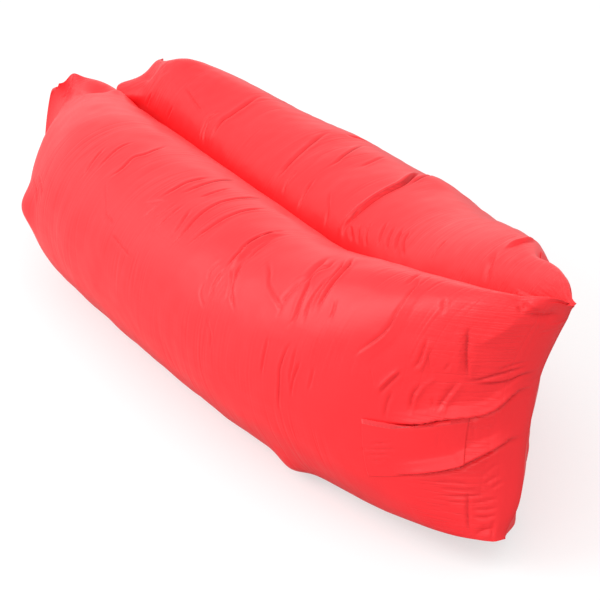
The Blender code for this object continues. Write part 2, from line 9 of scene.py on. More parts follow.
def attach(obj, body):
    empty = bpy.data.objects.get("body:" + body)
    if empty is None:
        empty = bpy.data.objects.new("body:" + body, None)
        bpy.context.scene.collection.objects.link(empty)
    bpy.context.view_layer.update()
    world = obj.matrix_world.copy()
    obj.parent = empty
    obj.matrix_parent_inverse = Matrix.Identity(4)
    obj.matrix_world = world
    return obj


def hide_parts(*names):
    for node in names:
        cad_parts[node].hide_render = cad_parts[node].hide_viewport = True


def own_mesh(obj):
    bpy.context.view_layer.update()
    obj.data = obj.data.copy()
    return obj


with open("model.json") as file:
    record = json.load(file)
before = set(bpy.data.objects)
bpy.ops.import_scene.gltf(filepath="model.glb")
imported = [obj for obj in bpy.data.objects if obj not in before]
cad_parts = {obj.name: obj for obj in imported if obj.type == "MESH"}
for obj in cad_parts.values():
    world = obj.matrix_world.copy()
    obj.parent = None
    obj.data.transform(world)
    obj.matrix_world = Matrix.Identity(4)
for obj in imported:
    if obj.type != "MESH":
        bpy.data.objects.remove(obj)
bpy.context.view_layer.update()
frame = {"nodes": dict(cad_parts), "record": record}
print("frame loaded:", len(frame["nodes"]), "nodes")


# The form: one formula for both chambers, in shares of the length and degrees round each section.

lounger = {
    "length": 2.10,
    "tubeWidth": 0.446,            # one chamber across, where it is full
    "seamGap": 0.0014,
    "shift": (-0.03077835, -0.04683776),  # puts the middle of the footprint at the origin
    "flat": 0.95,                  # the underside is flat below this share of the half height
    "headSpread": 0.168,
    "headEnd": 0.012,              # the sewn end is nearly flat
    "headTaper": (0.59, 1.10),     # front, rear
    "headPower": ((2.0, 2.0), (2.0, 1.32)),
    "headTaperInner": 0.18,
    "headPowerInner": (2.0, 0.9),
    "headReach": 0.60,
    "headBow": 0.063,
    "headLean": 0.045,
    "headTuck": 0.014,
    "mouthTaper": (1.48, 0.96),
    "mouthPower": ((2.9, 0.515), (2.0, 1.0)),
    "mouthNeck": 0.008,
    "mouthReach": 0.78,
    "mouthBow": 0.064,
    "mouthLean": 0.023,
    "mouthTwist": 0.11,
    "dentDepth": 0.050,            # the roll presses into the rear chamber
    "dentSpan": (0.80, 0.90, 0.985),
    "stations": (0.0, 0.14, 0.32, 0.5, 0.68, 0.86, 1.0),
    "underside": (0.05, 0.012, 0.0, 0.0, 0.0, 0.065, 0.16),
    "crest": ((0.99, 1.04, 1.11, 1.10, 1.10, 1.25, 1.36), (1.03, 1.12, 1.055, 1.04, 1.08, 1.29, 1.385)),
    "seam": (-0.164, -0.029, 0.048, 0.151, 0.235, 0.296, 0.335),
}
front, rear = 0, 1


def curveThrough(values, share):
    # a cubic per span through the stations, with slopes that never overshoot them
    spots, values = np.array(lounger["stations"]), np.array(values)
    rises = np.diff(values) / np.diff(spots)
    before, after = rises[:-1], rises[1:]
    total = np.where(before + after == 0, 1, before + after)
    slopes = np.concatenate((rises[:1], np.where(before * after > 0, 2 * before * after / total, 0), rises[-1:]))
    i = np.clip(np.searchsorted(spots, share, side="right") - 1, 0, len(spots) - 2)
    span = spots[i + 1] - spots[i]
    t = np.clip((share - spots[i]) / span, 0, 1)
    start = (1 + 2 * t) * (1 - t) ** 2 * values[i] + t * (1 - t) ** 2 * span * slopes[i]
    return start + t * t * (3 - 2 * t) * values[i + 1] - t * t * (1 - t) * span * slopes[i + 1]


def openingUp(run, taper, power):
    # 0 at a closed end, 1 where the chamber is full: 1 - (1 - run/taper)^a, all to the power b
    return (1 - (1 - np.clip(run / taper, 0, 1)) ** power[0]) ** power[1]


def heightsAt(side, share):
    # middle height and half height of a chamber's section
    low = lounger["tubeWidth"] * curveThrough(lounger["underside"], share)
    crest = lounger["tubeWidth"] * curveThrough(lounger["crest"][side], share)
    half = (crest - low) / (1 + lounger["flat"])
    return low + lounger["flat"] * half, half


def sharedHeights(share):
    # the same for the centre seam, half way between both chambers
    both = [heightsAt(side, share) for side in (front, rear)]
    return (both[0][0] + both[1][0]) / 2, (both[0][1] + both[1][1]) / 2


def seamSheet(share, z):
    # The upright sheet between the chambers: x and y at a height. Near an end x leans with the square
    # and the first power of that height. Also the height as a level, and how near the head it is.
    form = lounger
    middle, half = sharedHeights(share)
    level = (z - middle) / half
    atHead = np.clip(1 - share * form["length"] / form["headReach"], 0, 1) ** 2
    atMouth = np.clip(1 - (1 - share) * form["length"] / form["mouthReach"], 0, 1) ** 2
    x = (share - 0.5) * form["length"] + form["shift"][0]
    x = x + atHead * (form["headBow"] * level ** 2 + form["headLean"] * level)
    x = x + atMouth * (form["mouthBow"] * level ** 2 + form["mouthLean"] * level)
    y = form["tubeWidth"] * curveThrough(form["seam"], share) + form["shift"][1]
    return x, y + atMouth * form["mouthTwist"] * (z - middle), level, atHead


def chamberSkin(side, share, angle):
    # A section is an ellipse between an inner and an outer side, flat underneath. Both sides close at
    # the two ends, and the whole leans with the sheet between the chambers.
    form = lounger
    share, angle = np.broadcast_arrays(np.asarray(share, float), np.asarray(angle, float))
    fromHead, fromMouth = share * form["length"], (1 - share) * form["length"]
    edge = form["headSpread"] + form["headEnd"] / 2
    outer = edge + (form["tubeWidth"] - edge) * openingUp(
        fromHead, form["headTaper"][side], form["headPower"][side])
    outer = form["mouthNeck"] + (outer - form["mouthNeck"]) * openingUp(
        fromMouth, form["mouthTaper"][side], form["mouthPower"][side])
    inner = (form["headSpread"] - form["headEnd"] / 2) * (
        1 - openingUp(fromHead, form["headTaperInner"], form["headPowerInner"]))
    centre, half = heightsAt(side, share)
    lean = np.cos(angle)
    across = (outer + inner) / 2 + (outer - inner) / 2 * lean
    if side == rear:
        first, deepest, last = form["dentSpan"]
        reach = np.where(share < deepest, deepest - first, last - deepest)
        dent = form["dentDepth"] * np.cos(np.pi / 2 * np.clip(abs(share - deepest) / reach, 0, 1)) ** 2
        across = across - dent * np.clip(lean, 0, None) ** 4
    z = centre + half * np.clip(np.sin(angle), -form["flat"], None)
    sign = (-1, 1)[side]
    x, y, level, atHead = seamSheet(share, z)
    y = y + sign * (across + form["seamGap"] / 2 - atHead * form["headTuck"] * level)
    return np.stack((x, y, z), -1)


def unit(vectors):
    return vectors / np.maximum(np.linalg.norm(vectors, axis=-1, keepdims=True), 1e-12)


def gridNormals(points, side):
    # the cross product of the steps along and round the grid, turned outwards
    along = np.gradient(points, axis=0)
    around = np.roll(points, -1, 1) - np.roll(points, 1, 1)
    return unit(np.cross(along, around)) * (1, -1)[side]


def closedGrid(name, loops, flip=False, size=(1.0, 1.0)):
    # Rings of points joined along and round, each end zipped shut: point k meets its mirror m-1-k.
    # The UV map runs along and round in metres.
    rows, m = loops.shape[:2]
    i, k = np.meshgrid(np.arange(rows - 1), np.arange(m), indexing="ij")
    after = (k + 1) % m
    quads = np.stack((i * m + k, (i + 1) * m + k, (i + 1) * m + after, i * m + after), -1).reshape(-1, 4)
    share = [np.stack((i + a, k + b), -1).reshape(-1, 2) for a, b in ((0, 0), (1, 0), (1, 1), (0, 1))]
    uv = np.stack(share, 1) / (rows - 1, m)
    j = np.arange(m // 2 - 1)
    zips, zipUv = [], []
    for row, back in ((0, False), (rows - 1, True)):
        cap = np.stack((j, j + 1, m - 2 - j, m - 1 - j), -1)
        flat = np.stack([np.stack((np.full(len(j), row / (rows - 1)), cap[:, c] / m), -1) for c in range(4)], 1)
        zips.append((cap[:, ::-1] if back else cap) + row * m)
        zipUv.append(flat[:, ::-1] if back else flat)
    faces = np.concatenate([quads] + zips)
    uv = np.concatenate([uv] + zipUv) * size
    if flip:
        faces, uv = faces[:, ::-1], uv[:, ::-1]
    mesh = bpy.data.meshes.new(name)
    mesh.vertices.add(rows * m)
    mesh.vertices.foreach_set("co", np.ascontiguousarray(loops, float).reshape(-1))
    mesh.loops.add(faces.size)
    mesh.loops.foreach_set("vertex_index", np.ascontiguousarray(faces).reshape(-1))
    mesh.polygons.add(len(faces))
    mesh.polygons.foreach_set("loop_start", np.arange(0, faces.size, 4))
    mesh.polygons.foreach_set("loop_total", np.full(len(faces), 4))
    mesh.update(calc_edges=True)
    mesh.uv_layers.new(name="metres").data.foreach_set("uv", np.ascontiguousarray(uv).reshape(-1))
    mesh.polygons.foreach_set("use_smooth", np.full(len(faces), True))
    piece = bpy.data.objects.new(name, mesh)
    bpy.context.collection.objects.link(piece)
    return piece


# Folds: each has its kind, its depth and half width in mm, and its route of (share, degrees) over a
# chamber. A step and a valley on nearly the same route make one lapped fold.
folds = {
    front: [
        ("valley", 3.5, 4, [(0.518, 62), (0.519, 71), (0.516, 81), (0.516, 96)]),
        ("valley", 3.5, 4, [(0.533, 70), (0.534, 78), (0.53, 90), (0.522, 102), (0.51, 115)]),
        ("valley", 2.7, 3.2, [(0.558, 76), (0.558, 85), (0.553, 99)]),
        ("valley", 3.2, 3.6, [(0.585, 47), (0.582, 56), (0.572, 67)]),
        ("valley", 3.5, 3.6, [(0.596, 39), (0.595, 54), (0.586, 80), (0.581, 104), (0.564, 119)]),
        ("valley", 3.5, 3.6, [(0.615, 46), (0.62, 69), (0.618, 106)]),
        ("valley", 2.4, 3.2, [(0.522, 45), (0.526, 58)]),
        ("valley", 2.7, 3.2, [(0.554, 43), (0.557, 67)]),
        ("valley", 2.2, 3.2, [(0.505, 53), (0.53, 63)]),
        ("valley", 2.2, 3.2, [(0.539, 50), (0.547, 65)]),
        ("valley", 2.7, 3.2, [(0.372, 41), (0.371, 49), (0.359, 67)]),
        ("valley", 2.7, 3.2, [(0.387, 53), (0.378, 72), (0.38, 81)]),
        ("valley", 3.2, 3.6, [(0.417, 51), (0.42, 61), (0.413, 72), (0.417, 80), (0.41, 91), (0.401, 98)]),
        ("valley", 2.2, 3.2, [(0.419, 50), (0.457, 35)]),
        ("step", 12.6, 4.6, [(0.685, 94), (0.682, 70), (0.687, 61), (0.688, 49)]),
        ("valley", 7, 5, [(0.687, 92), (0.684, 70), (0.688, 61), (0.689, 48)]),
        ("valley", 4.3, 3.6, [(0.688, 49), (0.689, 40), (0.693, 32)]),
        ("valley", 4.1, 3.6, [(0.699, 61), (0.715, 42), (0.729, 34), (0.739, 30)]),
        ("valley", 3, 3.2, [(0.699, 79), (0.701, 67), (0.706, 61)]),
        ("valley", 3.5, 3.2, [(0.694, 53), (0.709, 44), (0.719, 34)]),
        ("valley", 2.7, 3.2, [(0.674, 53), (0.672, 44), (0.678, 38)]),
        ("valley", 3.2, 4, [(0.726, 65), (0.746, 57), (0.761, 49), (0.79, 40), (0.795, 36), (0.794, 32)]),
        ("valley", 4.5, 7, [(0.791, 61), (0.791, 39)]),
        ("valley", 5, 7, [(0.785, 81), (0.798, 54)]),
        ("valley", 5.4, 4, [(0.795, 82), (0.801, 73), (0.797, 68), (0.798, 61), (0.806, 53), (0.815, 37),
                            (0.815, 33), (0.812, 29)]),
        ("valley", 4.1, 3.6, [(0.817, 67), (0.821, 47), (0.828, 33)]),
        ("valley", 3.5, 3.2, [(0.802, 84), (0.817, 70), (0.83, 39)]),
        ("valley", 6.1, 4.4, [(0.803, 90), (0.822, 72), (0.835, 40)]),
        ("valley", 3.2, 3.2, [(0.846, 51), (0.852, 44), (0.855, 38)]),
        ("valley", 2.7, 3.2, [(0.826, 24), (0.821, 19), (0.818, 9), (0.819, 1), (0.817, -15)]),
        ("valley", 2.7, 3.2, [(0.832, 22), (0.832, 1)]),
        ("valley", 3, 3.2, [(0.841, 16), (0.835, 3), (0.835, -4)]),
        ("valley", 2.4, 3.2, [(0.857, 14), (0.856, 6), (0.854, 2)]),
        ("valley", 2.7, 3.2, [(0.795, 23), (0.795, 3)]),
        ("step", 5.2, 5, [(0.886, 89), (0.902, 74), (0.911, 46), (0.911, 39), (0.907, 33), (0.892, 22)]),
        ("valley", 3.2, 4, [(0.884, 91), (0.892, 73)]),
        ("valley", 1.6, 2.7, [(0.896, 92), (0.905, 72)]),
        ("valley", 1.6, 2.7, [(0.912, 88), (0.913, 77), (0.915, 68)]),
        ("ridge", 3.5, 4.6, [(0.92, 9), (0.935, 21)]),
        ("valley", 3.5, 3.6, [(0.923, 7), (0.937, 20)]),
        ("valley", 1.8, 2.7, [(0.91, 19), (0.919, 10)]),
        ("valley", 3.1, 4.1, [(0.934, 10), (0.931, 3), (0.931, -4)]),
        ("valley", 3.5, 4.1, [(0.956, 15), (0.952, 13), (0.949, 8), (0.95, 0)]),
        ("ridge", 2.9, 5.1, [(0.958, 14), (0.954, 11), (0.952, 7), (0.953, 0)]),
        ("ridge", 2.6, 4.6, [(0.946, 39), (0.95, 25), (0.946, 20)]),
        ("valley", 3.5, 4.1, [(0.944, 39), (0.946, 26), (0.943, 21)]),
        ("valley", 2.3, 3.2, [(0.95, 30), (0.957, 21)]),
        ("ridge", 2.6, 4.1, [(0.95, 11), (0.962, 18)]),
        ("ridge", 3.5, 5.6, [(0.978, 17), (0.969, 1)]),
        ("valley", 3.5, 6.1, [(0.975, 17), (0.966, 1)]),
        ("valley", 2.8, 4.1, [(0.963, 9), (0.965, 2)]),
        ("valley", 2.8, 4.1, [(0.934, 67), (0.943, 54)]),
        ("valley", 2.3, 3.2, [(0.967, 26), (0.965, 22)]),
        ("valley", 5.8, 7.2, [(0.965, 49), (0.98, 18)]),
        ("ridge", 3.5, 5.1, [(0.972, 37), (0.982, 18)]),
        ("step", 3.4, 3.8, [(0.983, 17), (0.991, 17), (0.996, 18), (1, 22)]),
        ("valley", 3.1, 3.2, [(0.976, 18), (0.983, 18), (0.987, 19), (0.997, 23), (0.999, 26)]),
        ("valley", 2.6, 3.2, [(0.99, 22), (0.999, 27)]),
        ("valley", 3.1, 3.2, [(0.996, 14), (0.999, 20)]),
        ("step", 17, 5.4, [(0.932, -5), (0.943, -5), (0.961, -3), (0.97, -1), (0.987, 1), (0.993, 3),
                           (0.996, 6), (1, 14)]),
        ("step", 17, 5.4, [(0.936, -31), (0.978, -24), (0.986, -21), (0.997, -14), (1, -9)]),
        ("valley", 2.3, 3.2, [(0.997, -16), (0.988, -22)]),
        ("valley", 3.1, 3.6, [(0.987, -35), (0.983, -65)]),
        ("valley", 1.9, 3.2, [(0.987, 0), (0.989, -11)]),
        ("valley", 2.1, 3.2, [(0.967, -32), (0.978, -31), (0.988, -32)]),
        ("valley", 2.1, 3.2, [(0.969, -35), (0.994, -35)]),
        ("valley", 2.1, 3.2, [(0.97, -39), (0.98, -39), (0.995, -37)]),
        ("valley", 1.9, 3.2, [(0.974, -43), (0.986, -42)]),
        ("valley", 2.1, 3.2, [(0.989, -42), (0.998, -40)]),
        ("valley", 2.1, 3.2, [(0.988, -46), (0.995, -46), (0.998, -45)]),
        ("valley", 2.1, 3.2, [(0.988, -51), (0.994, -51), (0.998, -50)]),
        ("valley", 2.3, 3.2, [(0.994, -32), (0.998, -28)]),
        ("valley", 2.3, 3.2, [(0.996, -35), (0.999, -31)]),
        ("valley", 1.9, 3.2, [(0.993, -28), (0.998, -22)]),
        ("valley", 1.7, 3.2, [(0.918, -17), (0.938, -14)]),
        ("valley", 1.7, 3.2, [(0.903, -21), (0.944, -17)]),
        ("valley", 1.7, 3.2, [(0.913, -23), (0.938, -20)]),
        ("valley", 1.2, 2.6, [(0.915, -26), (0.931, -24)]),
        ("valley", 3.5, 6.1, [(0.987, -66), (0.992, -61), (0.998, -59)]),
        ("valley", 3.5, 6.1, [(0.997, -53), (0.998, -68)]),
        ("valley", 7.2, 6.8, [(0.984, 75), (0.987, 67)]),
        ("valley", 6, 7.7, [(0.99, 62), (0.994, 59), (0.997, 58), (1, 60)]),
        ("ridge", 4.3, 14.3, [(0.988, 58), (0.986, 48), (0.976, 36)]),
        ("ridge", 3.5, 5.1, [(0.986, 75), (0.994, 65)]),
        ("valley", 3.5, 3.2, [(0.981, 73), (0.988, 61)]),
        ("valley", 2.9, 3.2, [(0.999, 44), (1, 48)]),
        ("valley", 3.5, 4, [(0.243, 19), (0.274, 16), (0.29, 10)]),
        ("valley", 3.5, 4, [(0.263, 24), (0.286, 21), (0.303, 16)]),
        ("valley", 3, 6, [(0.023, 81), (0.037, 58), (0.024, 46)]),
        ("valley", 3.2, 4, [(0.449, 36), (0.465, 34), (0.486, 33)]),
        ("valley", 2.7, 3.2, [(0.485, 28), (0.546, 24)]),
        ("valley", 2.4, 3.2, [(0.673, 36), (0.678, 30), (0.692, 25)]),
        ("valley", 2.2, 3.2, [(0.701, 20), (0.712, 14), (0.715, 7)]),
    ],
    rear: [
        ("valley", 4, 6, [(0.268, 86), (0.277, 102), (0.28, 117), (0.278, 126), (0.284, 145)]),
        ("valley", 3.5, 3.6, [(0.259, 121), (0.253, 132), (0.26, 148)]),
        ("valley", 3.5, 3.6, [(0.257, 130), (0.262, 139), (0.271, 147)]),
        ("valley", 3.4, 6, [(0.41, 85), (0.43, 111), (0.438, 128), (0.438, 136), (0.443, 144)]),
        ("valley", 3, 3.6, [(0.459, 126), (0.459, 136), (0.466, 145)]),
        ("valley", 3, 3.6, [(0.493, 124), (0.506, 148)]),
        ("valley", 3.2, 4, [(0.455, 77), (0.475, 94), (0.487, 106), (0.491, 114)]),
        ("valley", 2.7, 4, [(0.5, 77), (0.513, 90), (0.52, 101)]),
        ("valley", 2.4, 3.6, [(0.533, 126), (0.557, 138), (0.569, 148)]),
        ("step", 14, 4.8, [(0.609, 147), (0.603, 143), (0.6, 138), (0.603, 121), (0.6, 102), (0.592, 91),
                           (0.562, 73)]),
        ("valley", 7, 5, [(0.608, 147), (0.601, 142), (0.599, 137), (0.601, 120), (0.598, 102), (0.59, 90),
                          (0.563, 74)]),
        ("valley", 5.4, 4, [(0.59, 60), (0.566, 60), (0.586, 75), (0.606, 95)]),
        ("valley", 4.1, 4, [(0.607, 138), (0.625, 144)]),
        ("valley", 3.5, 3.2, [(0.62, 132), (0.626, 138), (0.638, 144)]),
        ("valley", 3.5, 3.2, [(0.635, 129), (0.641, 137), (0.654, 143)]),
        ("valley", 4.1, 3.2, [(0.656, 124), (0.671, 139)]),
        ("valley", 4.1, 3.2, [(0.673, 124), (0.68, 132), (0.688, 138)]),
        ("valley", 4.6, 4, [(0.686, 122), (0.694, 130), (0.705, 137)]),
        ("valley", 4.1, 3.2, [(0.699, 121), (0.707, 130), (0.722, 137)]),
        ("valley", 2.7, 3.2, [(0.772, 118), (0.771, 130), (0.776, 136)]),
        ("step", 7.8, 6, [(0.864, 108), (0.864, 88), (0.858, 73)]),
        ("valley", 4, 8, [(0.86, 114), (0.875, 133)]),
        ("valley", 3.2, 4, [(0.17, 141), (0.169, 150)]),
        ("valley", 2.7, 4, [(0.108, 138), (0.108, 150)]),
        ("valley", 2.7, 4, [(0.169, 122), (0.207, 127), (0.238, 130)]),
    ],
}
scattered = {   # short folds that the cloth has all over, spread by one seed
    "seed": 5,
    "spans": ((rear, 34, (0.05, 0.84), (-50, 72)), (front, 10, (0.05, 0.16), (-60, 10))),  # count, shares, degrees
    "reach": (12, 34), "lean": 0.016, "bend": 0.008,   # degrees to each side, and shares that the route strays
    "highest": 76,                                     # no fold runs over the crest
    "width": (3.2, 9.0), "depth": (2.6, 5.0),
    "sharp": 4.4,                                      # only narrower ones have a painted shade line at their foot
}


def farFolds():
    # Folds round the far flank and by the head: places, lengths and depths come from the seed.
    pick = np.random.default_rng(scattered["seed"])
    for side, count, shares, degrees in scattered["spans"]:
        for _ in range(count):
            share, degree, reach = (pick.uniform(*span) for span in (shares, degrees, scattered["reach"]))
            lean, bend = (pick.uniform(-most, most) for most in (scattered["lean"], scattered["bend"]))
            stops = [(share + lean * t + bend * t ** 2, min(degree + reach * t, scattered["highest"]))
                     for t in (-1, -0.5, 0, 0.5, 1)]
            width, depth = pick.uniform(*scattered["width"]), pick.uniform(*scattered["depth"])
            folds[side].append(("valley" if width < scattered["sharp"] else "dimple", depth, width, stops))


farFolds()
pulls = [   # soft moves of the form: place in m, reach in mm, move in mm
    ((-0.98, -0.27, 0.43), 35, (12, 4, -20)),   # near head tip
    ((-0.95, -0.27, 0.37), 38, (8, -3, 4)),   # near head hollow
    ((-0.58, -0.44, 0.36), 105, (6, 14, 0)),   # left edge
    ((-0.56, -0.48, 0.25), 50, (-7, -20, -2)),   # lower left corner
    ((-0.94, -0.06, 0.37), 42, (-23, -18, 31)),   # far head end
    ((-0.89, -0.03, 0.46), 30, (10, -4, -23)),   # far head top
    ((-0.9, -0.06, 0.39), 26, (-5, -28, -13)),   # far head, lower
    ((-0.93, -0.06, 0.38), 42, (-5, -25, -10)),   # far head nose
    ((-0.78, -0.16, 0.45), 30, (-4, 2, 10)),   # near crest by the notch
    ((-0.82, -0.2, 0.46), 42, (11, -5, -24)),   # near head crest
    ((-0.95, -0.24, 0.44), 24, (-6, 2, 12)),   # near head peak
    ((-0.81, 0.04, 0.49), 75, (-6, 2, 12)),   # far crest, head
    ((-0.23, 0.27, 0.46), 90, (-2, 1, 5)),   # far crest, middle
    ((0.17, 0.33, 0.46), 60, (-6, 2, 13)),   # far crest, mouth
    ((0.75, 0.25, 0.56), 30, (1, 4, 2)),   # far bump
    ((1.1, 0.14, 0.61), 55, (7, -11, -21)),   # mouth tip
    ((0.98, 0.16, 0.42), 80, (-4, -9, 0)),   # mouth line
    ((0.97, 0.14, 0.2), 55, (4, 9, 0)),   # mouth line, lower
    ((1.05, 0.08, 0.07), 50, (-11, -29, -2)),   # lower mouth corner
    ((0.57, -0.21, 0.04), 46, (5, -7, -16)),   # kink
    ((1.05, 0.05, 0.59), 18, (-4, 2, -6)),   # knot
    ((1.09, 0.09, 0.6), 36, (4, -2, 14)),   # horn
    ((1.1, 0.12, 0.59), 26, (-3, 1, 16)),   # horn, outer
    ((1.08, 0.1, 0.56), 22, (-8, 4, -4)),   # under the horn
    ((0.96, 0.14, 0.1), 60, (0, -16, 0)),   # rear flank by the corner
    ((0.94, 0.16, 0.22), 75, (-5, -22, 0)),   # rear flank by the mouth
    ((0.84, 0.21, 0.14), 95, (0, -20, 0)),   # roll, lower half
    ((0.85, 0.2, 0.07), 45, (0, -16, 0)),   # roll, bottom end
    ((0.88, 0.23, 0.55), 50, (-9, -22, -14)),   # roll, top end
]
inflation = {
    "rows": 880, "columns": 440,          # the finished grid, along and round
    "cageRows": 150, "cageColumns": 84,   # the grid that the air blows up
    "crowding": 0.30,                     # how much closer the rows stand at the two ends
    "foldWidth": 8,                       # folds under this half width in mm are too fine for the cage
    "slack": 0.002,                       # the cage starts this far inside the skin
    "heldShares": (0.03, 0.985), "heldSeam": 14, "heldUnderside": 22,   # sewn, or standing; in degrees
    "pressure": 4.0, "frames": 16, "quality": 6, "mass": 0.1,
    "tension": 12, "compression": 4, "bending": 0.05,
    "most": 0.006,                        # no point moves further
    "calm": (0.10, 0.14),                 # moves fade out over these shares of the two ends
}


def routeThrough(stops, count):
    # a Catmull-Rom curve through the stops
    stops = np.array(stops, float)
    stops = np.concatenate((2 * stops[:1] - stops[1:2], stops, 2 * stops[-1:] - stops[-2:-1]))
    t = np.linspace(0, len(stops) - 3 - 1e-9, count)
    i, t = t.astype(int), (t % 1)[:, None]
    a, b, c, d = (stops[i + n] for n in range(4))
    return 0.5 * (2 * b + (c - a) * t + (2 * a - 5 * b + 4 * c - d) * t ** 2 + (3 * b - 3 * c + d - a) * t ** 3)


foldForm = {   # lips, rises and reaches count in half widths of the fold
    "valleyFall": 1.2, "lip": 0.28, "lipPlace": 2.0, "lipWidth": 1.3,
    "ridgePower": 1.4,
    "stepRise": 3, "stepRunOut": 3, "stepDip": 0.35, "stepFoot": -0.8,
    "reach": 6, "full": 4,             # how far a fold is felt, and from where it dies away
    "fade": 0.25,                      # share of its length over which it fades in and out
    "steps": 48, "through": 0.06,      # points along a route; deeper than this lies the far flank, in m
    "shadeDepth": 0.0032, "shadeLength": 0.13,   # from here on the painted shade line is full, in m
    "shadeWidth": 0.0014, "shadeSpread": 0.3,    # its width in m, and how much it widens with the fold
}


def besideRoute(side, points, stops, reach):
    # For the grid points near a route: where they are, how far across it, and how far along it.
    route = routeThrough(stops, foldForm["steps"])
    shares, angles = route[:, 0], np.radians(route[:, 1])
    line = chamberSkin(side, shares, angles)
    ahead = unit(np.gradient(line, axis=0))
    onward = chamberSkin(side, shares + 1e-4, angles) - line
    aside = chamberSkin(side, shares, np.radians(route[:, 1] + 0.5)) - line
    upright = unit(np.cross(onward, aside)) * (1, -1)[side]
    across = unit(np.cross(upright, ahead))
    lengths = np.concatenate(([0], np.cumsum(np.linalg.norm(np.diff(line, axis=0), axis=1))))
    low, high = line.min(0) - reach, line.max(0) + reach
    near = np.nonzero(((points > low) & (points < high)).all(-1))
    if not len(near[0]):
        return near, np.zeros(0), np.zeros(0), lengths[-1]
    offset = points[near][:, None] - line[None]
    nearest = (offset ** 2).sum(-1).argmin(1)
    offset = offset[np.arange(len(nearest)), nearest]
    beside = (offset * across[nearest]).sum(-1)
    along = lengths[nearest] + (offset * ahead[nearest]).sum(-1)
    hidden = abs((offset * upright[nearest]).sum(-1)) > foldForm["through"]
    return near, np.where(hidden, 10.0, beside), along, lengths[-1]   # 10 m is out of any fold's reach


def foldRelief(side, points, narrowest=0):
    # Height of every fold at every grid point. A valley is a narrow dip between two low lips, a ridge
    # the reverse without lips, and a step rises at once and runs out slowly, as a lapped fold does.
    # The second result is 1 on the sharp line at the foot of a valley or step, where hardly any light
    # gets in: a painted shade line, which darkens the cloth's colour there. A dimple is a valley without that line.
    form = foldForm
    height, lines = np.zeros(points.shape[:2]), np.zeros(points.shape[:2])
    for kind, depth, width, stops in folds[side]:
        if width < narrowest:
            continue
        width, depth = width / 1000, depth / 1000
        near, beside, along, total = besideRoute(side, points, stops, form["reach"] * width)
        if not len(beside):
            continue
        s = beside / width
        if kind in ("valley", "dimple"):
            lips = form["lip"] * np.exp(-((abs(s) - form["lipPlace"]) / form["lipWidth"]) ** 2)
            shape = -np.exp(-form["valleyFall"] * abs(s)) + lips
        elif kind == "ridge":
            shape = np.exp(-abs(s) ** form["ridgePower"])
        else:
            rise = 0.5 * (1 + np.tanh(form["stepRise"] * s)) * np.exp(-np.clip(s, 0, None) / form["stepRunOut"])
            shape = rise - form["stepDip"] * np.exp(-(s - form["stepFoot"]) ** 2)
        runOut = form["fade"] * total + 2 * width
        fade = np.clip((along + width) / runOut, 0, 1) * np.clip((total + width - along) / runOut, 0, 1)
        fade = np.sin(np.pi / 2 * fade) ** 2
        height[near] += depth * shape * fade * np.exp(-np.clip(abs(s) - form["full"], 0, None))
        if kind in ("valley", "step"):
            foot = form["stepFoot"] * width if kind == "step" else 0.0
            dark = min(depth / form["shadeDepth"], 1.0) * min(total / form["shadeLength"], 1.0) ** 2 * fade
            reach = form["shadeWidth"] + form["shadeSpread"] * width
            lines[near] = np.maximum(lines[near], dark * np.exp(-((beside - foot) / reach) ** 2))
    return height, lines


def pulled(points):
    # each pull moves the cloth round its place, less and less with the distance
    moved = points.copy()
    for place, reach, move in pulls:
        near = np.exp(-((points - place) ** 2).sum(-1) / (reach / 1000) ** 2)
        moved += near[..., None] * np.array(move) / 1000
    return moved


def gridAt(rows, columns):
    # rows crowd at both ends, columns go once round from the underside
    t = np.linspace(0, 1, rows)
    shares = t - inflation["crowding"] * np.sin(2 * np.pi * t) / (2 * np.pi)
    degrees = -90 + (np.arange(columns) + 0.5) * 360 / columns
    return shares[:, None], degrees[None]


def smoothWeights(fine, coarse, closed):
    # cubic B-spline weights that carry values from a coarse row of points to a fine one
    if closed:
        spots = (np.arange(fine) + 0.5) * coarse / fine - 0.5
    else:
        spots = np.linspace(0, coarse - 1, fine)
    away = spots[:, None] - np.arange(-3, coarse + 3)[None]
    a = abs(away)
    weights = np.where(a < 1, 2 / 3 - a ** 2 + a ** 3 / 2, np.where(a < 2, (2 - a) ** 3 / 6, 0))
    picked = np.zeros((fine, coarse))
    for column, index in enumerate(range(-3, coarse + 3)):
        index = index % coarse if closed else min(max(index, 0), coarse - 1)
        picked[:, index] += weights[:, column]
    return picked


